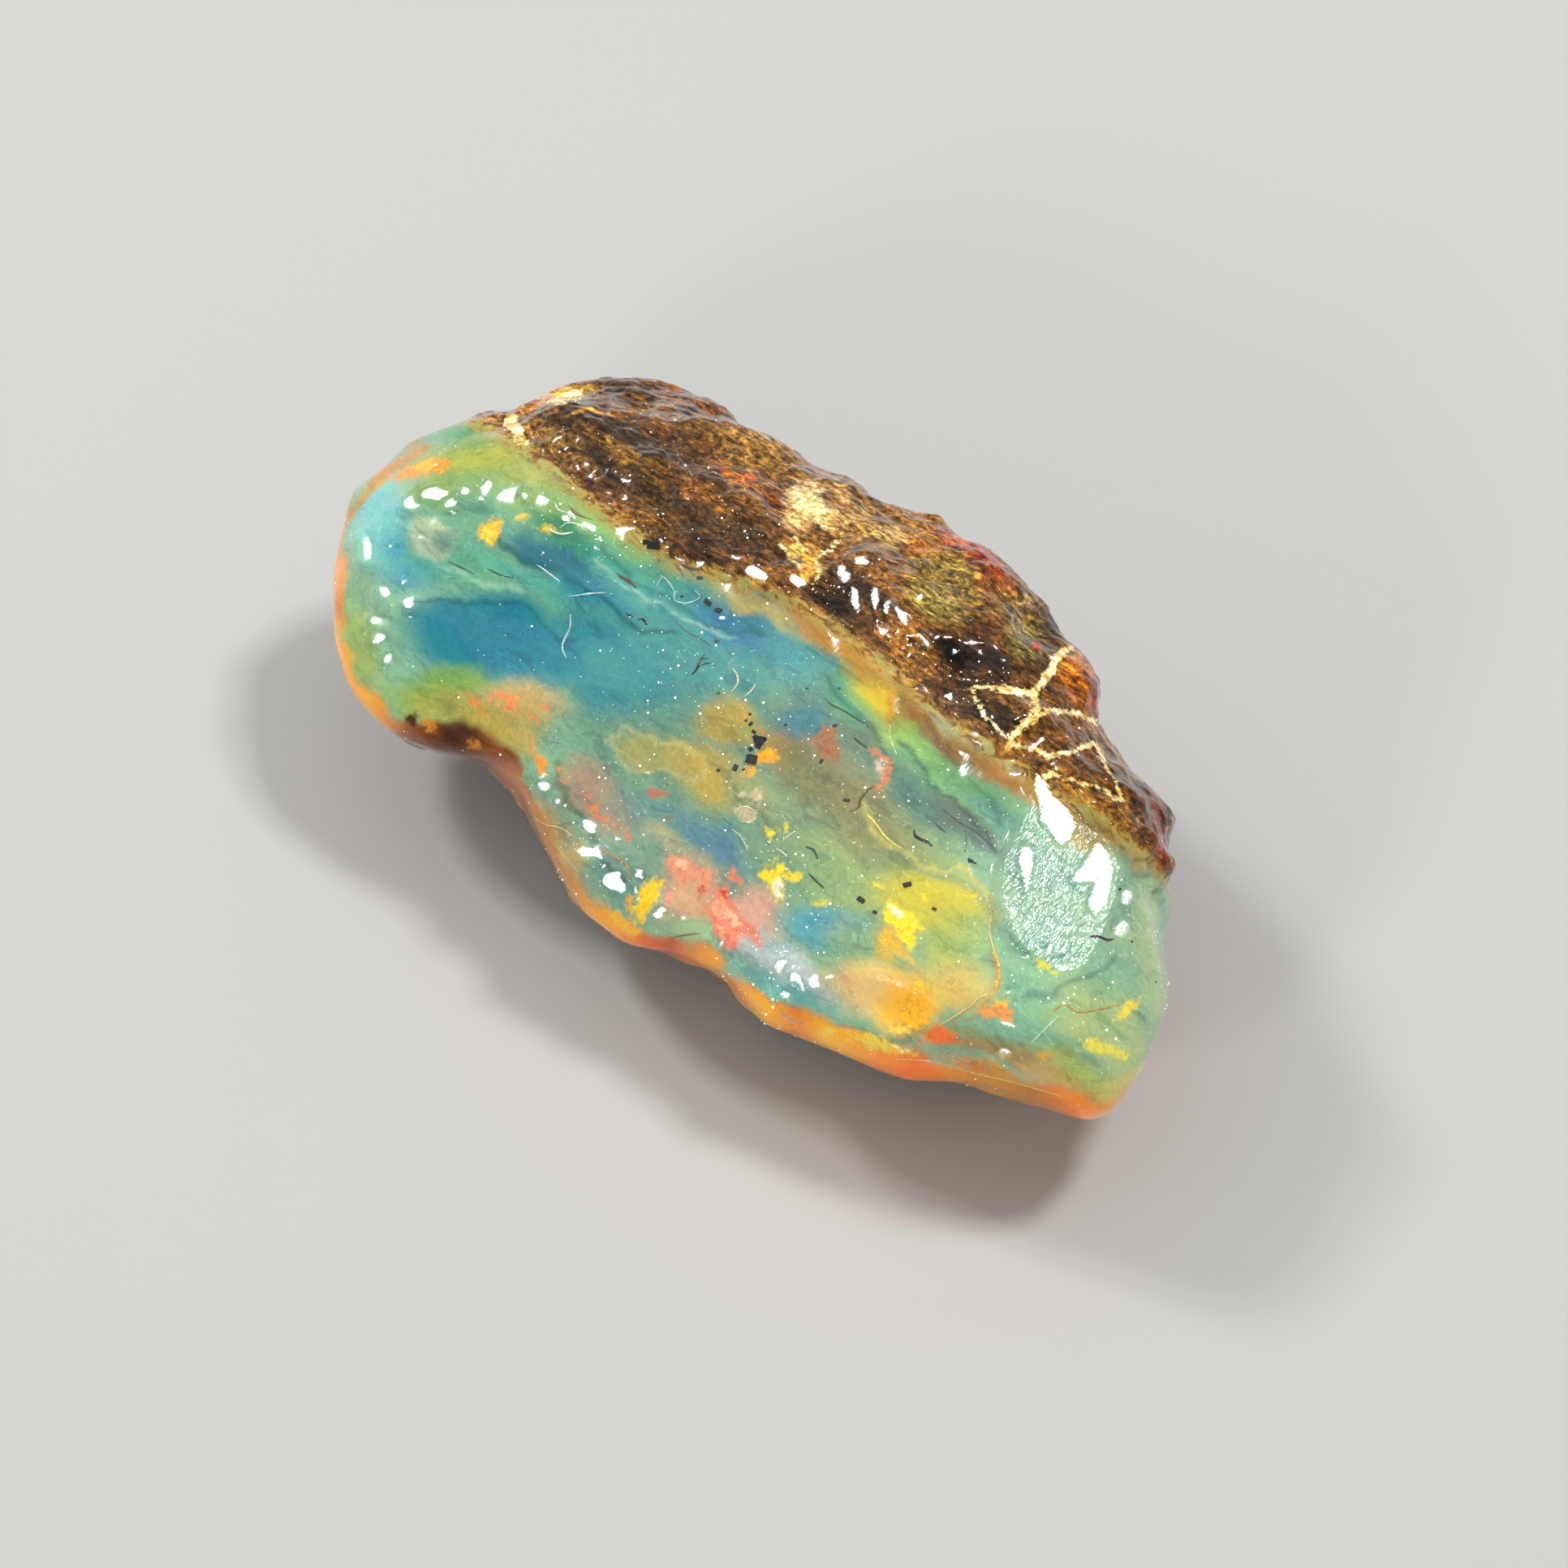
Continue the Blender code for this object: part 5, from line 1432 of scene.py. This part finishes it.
# %% Threads, dark and pale
THREADS = [  # colour, radius in mm, how far its middle is sunk in mm, then pixels
    ("#1E2320", 0.09, 0.02, [(1126, 1022), (1128, 1030), (1136, 1035), (1144, 1038), (1148, 1043)]),
    ("#4A5A5C", 0.07, 0.03, [(1160, 996), (1180, 1012), (1204, 1026), (1226, 1046)]),
    ("#3A3A30", 0.05, 0.02, [(1150, 1012), (1160, 1022), (1166, 1026)]),
    ("#26221C", 0.09, 0.02, [(1193, 1058), (1198, 1062), (1203, 1064)]),
    ("#33261E", 0.08, 0.02, [(1343, 1154), (1354, 1154), (1364, 1158), (1374, 1157)]),
    ("#24352E", 0.08, 0.02, [(868, 806), (862, 814), (859, 823), (853, 831)]),
    ("#24352E", 0.05, 0.02, [(860, 822), (867, 818), (876, 817)]),
    ("#24352E", 0.05, 0.02, [(863, 813), (868, 811), (872, 812)]),
    ("#5A4A22", 0.12, 0.05, [(760, 706), (766, 711), (776, 717), (784, 724)]),
    ("#2A2418", 0.07, 0.02, [(771, 755), (775, 758), (780, 760)]),
    ("#1E1A14", 0.08, 0.02, [(786, 764), (790, 762), (794, 765), (797, 770)]),
    ("#3E504A", 0.06, 0.02, [(1016, 860), (1026, 869), (1040, 876), (1056, 886), (1071, 897)]),
    ("#2C3A36", 0.08, 0.02, [(1052, 909), (1060, 916), (1068, 921)]),
    ("#6E5E34", 0.10, 0.04, [(1078, 968), (1067, 975), (1060, 985), (1058, 994), (1047, 1000)]),
    ("#333E34", 0.06, 0.02, [(996, 1076), (1004, 1084), (1015, 1094)]),
    ("#333E34", 0.06, 0.02, [(993, 1043), (1003, 1048), (1008, 1059)]),
    ("#3C5A52", 0.06, 0.03, [(552, 692), (566, 698), (584, 707)]),
    ("#35504E", 0.06, 0.03, [(600, 700), (616, 708), (634, 712)]),
    ("#2E3A38", 0.04, 0.02, [(1189, 1020), (1190, 1036), (1189, 1050)]),
    ("#7A6438", 0.08, 0.03, [(700, 622), (712, 634), (730, 640)]),
    ("#54401E", 0.10, 0.03, [(838, 695), (850, 700), (862, 702)]),
    ("#4E6A5E", 0.06, 0.03, [(828, 762), (846, 778), (868, 790), (880, 800)]),
    ("#C2DADC", 0.05, 0.00, [(703, 757), (702, 774), (695, 789), (693, 799), (698, 811)]),
    ("#D5E8EA", 0.04, 0.00, [(662, 696), (676, 706), (690, 717)]),
    ("#A8D8DA", 0.05, 0.01, [(700, 735), (716, 733), (732, 731), (747, 730)]),
    ("#CBCBAC", 0.06, 0.00, [(902, 823), (908, 831), (909, 842), (903, 851)]),
    ("#CFC9B0", 0.05, 0.00, [(916, 859), (925, 852), (931, 843)]),
    ("#A2D0CC", 0.05, 0.01, [(809, 723), (817, 711), (830, 727), (832, 740), (848, 743), (862, 736),
                             (856, 727)]),
    ("#D2E2B4", 0.04, 0.00, [(1097, 893), (1096, 906), (1100, 918), (1105, 930)]),
    ("#E9DFC0", 0.04, 0.01, [(905, 1004), (910, 996), (920, 994), (930, 999)]),
    ("#E9DFC0", 0.04, 0.01, [(932, 1006), (925, 1013), (914, 1012)]),
    ("#C6DDB6", 0.05, 0.00, [(1305, 1252), (1294, 1262), (1282, 1274), (1270, 1286)]),
    ("#C2A052", 0.07, 0.03, [(1286, 1256), (1310, 1238), (1328, 1247), (1352, 1244), (1380, 1238)]),
    ("#D6CF86", 0.06, 0.02, [(1213, 1100), (1221, 1124), (1219, 1147), (1226, 1176)]),
    ("#F2AE4A", 0.11, 0.04, [(1224, 1170), (1230, 1188), (1231, 1206), (1226, 1222)]),
    ("#E3C070", 0.07, 0.02, [(1226, 1222), (1206, 1230), (1196, 1240), (1174, 1254), (1154, 1266)]),
    ("#F0E060", 0.07, 0.02, [(1068, 1003), (1080, 1016), (1090, 1030), (1102, 1040), (1112, 1046)]),
    ("#E8D27A", 0.06, 0.02, [(1100, 1305), (1150, 1308), (1200, 1322), (1250, 1334), (1312, 1352)]),
    ("#D9C06A", 0.05, 0.02, [(655, 1006), (672, 1016), (690, 1020), (706, 1030)]),
    ("#D9C06A", 0.05, 0.02, [(684, 1040), (696, 1056), (712, 1074)]),
    ("#B98A4A", 0.07, 0.02, [(740, 1046), (758, 1056), (772, 1066), (778, 1084)]),
    ("#8A7A4A", 0.06, 0.02, [(826, 1156), (846, 1152), (864, 1150)]),
    ("#6FA8C8", 0.05, 0.02, [(960, 1245), (974, 1256), (992, 1262)]),
    ("#DDEFC8", 0.04, 0.00, [(690, 650), (700, 644), (712, 646), (722, 654)]),
    ("#E6F2E0", 0.05, 0.00, [(676, 652), (690, 658), (706, 656)]),
    ("#E6F2E0", 0.04, 0.00, [(684, 620), (688, 628), (700, 632)]),
    ("#E8E0C8", 0.04, 0.00, [(958, 1046), (964, 1050), (970, 1056)]),
    ("#F0ECD8", 0.04, 0.00, [(966, 1034), (974, 1028), (980, 1024)]),
    ("#BCC8A0", 0.04, 0.00, [(902, 1022), (912, 1030), (918, 1040), (922, 1050)]),
]

bm = bmesh.new()
shade = bm.verts.layers.float_color.new("thread_colour")
for colour, radius, sunk, corners in THREADS:
    for vertex in add_tube(bm, corners, radius, sunk):
        vertex[shade] = linear(colour)
threads = add_to_scene("amber_threads", finish_mesh(bm, "amber_threads"))
threads.data.shade_smooth()
print("threads:", len(THREADS), "with", len(threads.data.polygons), "faces")

# %% [markdown]
# A crumb is a small block with knocked corners. The largest are black and nearly square, and lie
# in a chain next to the orange patch.

# %% Crumbs
CRUMBS = [  # colour, pixel across, pixel down, half length, half width, turn
    ("#12171A", 926, 936, 6.5, 6, -14), ("#12171A", 936, 912, 6, 5, -10),
    ("#161B1C", 931, 910, 3, 4, 20), ("#161B1C", 942, 911, 3, 2.5, 30),
    ("#161B1C", 934, 919, 4, 3, -30), ("#1C2320", 925, 923, 3, 2.5, 20),
    ("#1C2320", 929, 902, 3, 2, -30), ("#262C24", 925, 892, 3, 2, 45),
    ("#262C24", 919, 888, 2, 1.5, 10), ("#262C24", 924, 880, 2, 1.5, 0),
    ("#2A2C20", 906, 946, 4, 3, 60), ("#3A3C2C", 916, 948, 2, 1.5, 10),
    ("#35502E", 885, 854, 2.5, 2, 0), ("#3A4A3A", 885, 949, 2.5, 2, 0),
    ("#2A1E12", 1061, 1109, 5, 3, -35), ("#2E2A1A", 1078, 1124, 3, 2, -30),
    ("#28281E", 1118, 1090, 5, 3, 10), ("#3A382A", 1151, 1120, 3, 2, -20),
    ("#0E0A08", 806, 672, 9, 5, -10), ("#1A1008", 796, 668, 4, 3, 0),
    ("#2A1E14", 1196, 1061, 3, 2, 0), ("#34403A", 1034, 848, 2, 1.5, 0),
    ("#3A4840", 994, 848, 2, 1.5, 0), ("#2E3A34", 1029, 894, 3, 2, 20),
    ("#20302C", 1043, 986, 4, 2, -20), ("#3E3A2C", 1012, 938, 3, 2, 60),
    ("#26302A", 968, 893, 2, 1.5, 0), ("#20262A", 840, 735, 2, 1.5, 0),
    ("#2A3236", 872, 742, 5, 3, -30), ("#1E2426", 885, 752, 5, 3, -30),
    ("#3C3020", 862, 712, 4, 2, 0), ("#4A3A1E", 883, 790, 3, 2, -30),
    ("#2E2A1E", 1380, 1096, 2, 1.5, 0), ("#3A2A1A", 1395, 1160, 2, 1.5, 0),
    ("#2E2A22", 1424, 1210, 2, 1.5, 0), ("#33302A", 1258, 1096, 2, 1.5, 0),
]
CRUMB_SUNK, CRUMB_BEVEL = 0.02, 0.02  # mm
CRUMB_HEIGHT = 0.6  # of its width
CORNER_PUSH = 0.25  # of its half size


def add_crumb(bm, across, down, half_length, half_width, degrees):
    """Adds one crumb: a block with pushed corners, half in the skin."""
    spot, normal = on_stone(across, down, CRUMB_SUNK)
    lengthwise = in_picture(degrees)
    lengthwise = (lengthwise - normal * lengthwise.dot(normal)).normalized()
    axes = Matrix((lengthwise, normal.cross(lengthwise), normal)).transposed()
    size = Vector((half_length, half_width, half_width * CRUMB_HEIGHT)) / PIXELS_PER_MM
    block = bmesh.ops.create_cube(bm, size=2.0)["verts"]
    for vertex in block:
        push = noise.noise_vector(spot * 7 + vertex.co * 3) * CORNER_PUSH
        vertex.co = (spot + axes @ ((vertex.co + push) * size)) * MM
    return block


bm = bmesh.new()
shade = bm.verts.layers.float_color.new("thread_colour")
for colour, *crumb in CRUMBS:
    for vertex in add_crumb(bm, *crumb):
        vertex[shade] = linear(colour)
bmesh.ops.bevel(bm, geom=bm.edges[:], offset=CRUMB_BEVEL * MM, segments=1, affect="EDGES")
crumbs = add_to_scene("amber_crumbs", finish_mesh(bm, "amber_crumbs"))
print("crumbs:", len(CRUMBS))

# %% [markdown]
# Threads and crumbs are plant shreds soaked in resin: dull where they are dry, glossy where the
# resin covers them. So the eye sees a dark fibre with a wet edge rather than a line of paint. A
# noise gives them lighter and darker flecks. Those are a tenth of a millimetre wide, coarser than
# the fibres of bark, because finer ones wouldn't show.

# %% Plant shreds soaked in resin
FLECK_SIZE = 0.12  # mm
FLECKS = 0.6  # how strongly they show
RESIN_IOR = 1.5

shreds, tree = start_material("resin_soaked_plant_shreds")
own = node(tree, "ShaderNodeAttribute", attribute_name="thread_colour").outputs["Color"]
place = node(tree, "ShaderNodeTexCoord").outputs["Object"]
fleck = node(tree, "ShaderNodeTexNoise", {
    "Vector": place, "Scale": 1 / (FLECK_SIZE * MM), "Detail": 2.0,
}).outputs["Fac"]
fleck_tint = node(tree, "ShaderNodeValToRGB", {"Fac": fleck}, stops=[
    (0.35, "#A8A098"), (0.55, "#FFFFFF"), (0.8, "#FFFFFF"),
]).outputs[0]
flecked = node(tree, "ShaderNodeMix", {
    0: FLECKS, 6: own, 7: fleck_tint,
}, data_type="RGBA", blend_type="MULTIPLY").outputs[2]
feed(tree, tree.nodes["Principled BSDF"], {
    "Base Color": flecked, "Roughness": 0.35, "IOR": RESIN_IOR,
    "Coat Weight": 0.6, "Coat Roughness": 0.08,
})
for piece in (threads, crumbs):
    piece.data.materials.append(shreds)
    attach(piece, "root")
print("the shreds' material is on", threads.name, "and", crumbs.name)

# %% [markdown]
# ## Bubbles
# The bright pin-points are bubbles at the skin, each a tenth of a millimetre wide. There are more
# than a thousand, so Geometry Nodes scatter them: points on the stone's skin, as dense as the
# painted sparkle says, and on each point a small ball of its own size. Most are small, so the
# random size is raised to a power. Particles would do it too, but leave less say over where.

# %% Geometry Nodes that scatter bubbles
MOSTLY_SMALL = 5.0  # the power that the random size is raised to

bubble_tree = bpy.data.node_groups.new("scatter_bubbles", "GeometryNodeTree")
for name, kind in (("Geometry", "NodeSocketGeometry"), ("Density", "NodeSocketFloat"),
                   ("Smallest", "NodeSocketFloat"), ("Largest", "NodeSocketFloat"),
                   ("Seed", "NodeSocketInt"), ("Material", "NodeSocketMaterial")):
    bubble_tree.interface.new_socket(name, in_out="INPUT", socket_type=kind)
bubble_tree.interface.new_socket("Geometry", in_out="OUTPUT", socket_type="NodeSocketGeometry")
given = node(bubble_tree, "NodeGroupInput").outputs
swarm = node(bubble_tree, "GeometryNodeInputNamedAttribute", {
    "Name": "sparkle",
}, data_type="FLOAT").outputs[0]
dense = node(bubble_tree, "ShaderNodeMath", {
    0: swarm, 1: given["Density"],
}, operation="MULTIPLY").outputs[0]
spots = node(bubble_tree, "GeometryNodeDistributePointsOnFaces", {
    "Mesh": given["Geometry"], "Density": dense, "Seed": given["Seed"],
}).outputs["Points"]
size = node(bubble_tree, "FunctionNodeRandomValue", {
    "Min": 0.0, "Max": 1.0, "Seed": given["Seed"],
}, data_type="FLOAT").outputs[1]
skewed = node(bubble_tree, "ShaderNodeMath", {
    0: size, 1: MOSTLY_SMALL,
}, operation="POWER").outputs[0]
radius = node(bubble_tree, "ShaderNodeMapRange", {
    "Value": skewed, "To Min": given["Smallest"], "To Max": given["Largest"],
}).outputs[0]
ball = node(bubble_tree, "GeometryNodeMeshIcoSphere", {
    "Radius": 1.0, "Subdivisions": 1,
}).outputs["Mesh"]
placed = node(bubble_tree, "GeometryNodeInstanceOnPoints", {
    "Points": spots, "Instance": ball, "Scale": radius,
}).outputs[0]
real = node(bubble_tree, "GeometryNodeRealizeInstances", {"Geometry": placed}).outputs[0]
coated = node(bubble_tree, "GeometryNodeSetMaterial", {
    "Geometry": real, "Material": given["Material"],
}).outputs[0]
node(bubble_tree, "NodeGroupOutput", {"Geometry": coated})
print("nodes that scatter the bubbles:", len(bubble_tree.nodes))

# %% [markdown]
# A bubble in resin mirrors nearly all the light that meets it, from whichever lamp is there, so
# the eye sees a white spark. A clear ball of glass this small would need far more light paths to
# look so. A white, glossy skin with a little light of its own gives the same spark at once.

# %% Scatter the bubbles
BUBBLE_DENSITY = 2.4e6  # to a square metre, where the sparkle is 1
BUBBLE_SMALLEST, BUBBLE_LARGEST = 0.026, 0.080  # mm, radius
BUBBLE_SEED = 7
BALL_FACES = 20

bubble_skin, tree = start_material("bright_gas_bubbles")
feed(tree, tree.nodes["Principled BSDF"], {
    "Base Color": linear("#F6F7EC"), "Roughness": 0.15, "Coat Weight": 1.0, "Coat Roughness": 0.03,
    "Emission Color": linear("#F4F6E6"), "Emission Strength": 0.6,
})
bubble_skin.cycles.emission_sampling = "NONE"  # sparks this small light nothing else

bubbles = add_to_scene("amber_bubbles", stone.data.copy())
scatter = bubbles.modifiers.new("scatter", "NODES")
scatter.node_group = bubble_tree
for name, value in (("Density", BUBBLE_DENSITY), ("Smallest", BUBBLE_SMALLEST * MM),
                    ("Largest", BUBBLE_LARGEST * MM), ("Seed", BUBBLE_SEED),
                    ("Material", bubble_skin)):
    scatter[bubble_tree.interface.items_tree[name].identifier] = value
apply_modifiers(bubbles)
bubbles.data.shade_smooth()
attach(bubbles, "root")
print("bubbles:", len(bubbles.data.polygons) // BALL_FACES)

# %% [markdown]
# ## The floor
# The stone lies on matt pale paper, wide enough to fill the picture. Paper has no gloss, so the
# eye gets an even ground, a soft shadow, and no second image of the stone.

# %% The floor
FLOOR_REACH = 2.0  # m, half its side

bm = bmesh.new()
bmesh.ops.create_grid(bm, x_segments=1, y_segments=1, size=FLOOR_REACH)
floor = add_to_scene("floor", finish_mesh(bm, "floor"))
paper, tree = start_material("matt_pale_paper")
feed(tree, tree.nodes["Principled BSDF"], {"Base Color": linear("#B4B3B0"), "Roughness": 0.9})
floor.data.materials.append(paper)
print("the floor's side, in m:", 2 * FLOOR_REACH)

# %% [markdown]
# ## The lights
# A studio lights a stone with one large softbox overhead, for a soft shadow, and here come the
# three small lamps whose reflections the facets were turned to. The world round them is pale and
# nearly as bright as the softbox, so the softbox leaves no edge in the gloss. Then only the small
# lamps show in it, as the sharp white spots of the photograph do.

# %% The lights
LIGHTS = [  # name, direction from the stone, distance in m, side in m, power in W
    ("overhead_softbox", Vector((-0.30, -0.05, 0.95)).normalized(), 1.3, 1.8, 5.0),
    ("back_lamp", BACK_LAMP, LAMP_DISTANCE * MM, 0.09, 1.5),
    ("side_lamp", SIDE_LAMP, LAMP_DISTANCE * MM, 0.09, 1.2),
    ("front_lamp", FRONT_LAMP, LAMP_DISTANCE * MM, 0.08, 0.7),
]
WORLD_COLOUR, WORLD_STRENGTH = "#E8ECF0", 0.38

for name, direction, distance, side, power in LIGHTS:
    softbox = bpy.data.lights.new(name, "AREA")
    softbox.size = side
    softbox.energy = power
    lamp = add_to_scene(name, softbox)
    lamp.location = STONE_MIDDLE * MM + direction * distance
    lamp.rotation_euler = direction.to_track_quat("Z", "Y").to_euler()
world = bpy.data.worlds.new("studio")
world.use_nodes = True
feed(world.node_tree, world.node_tree.nodes["Background"], {
    "Color": linear(WORLD_COLOUR), "Strength": WORLD_STRENGTH,
})
bpy.context.scene.world = world
bpy.context.scene.view_settings.view_transform = "Standard"
print("lights:", [name for name, *_ in LIGHTS])
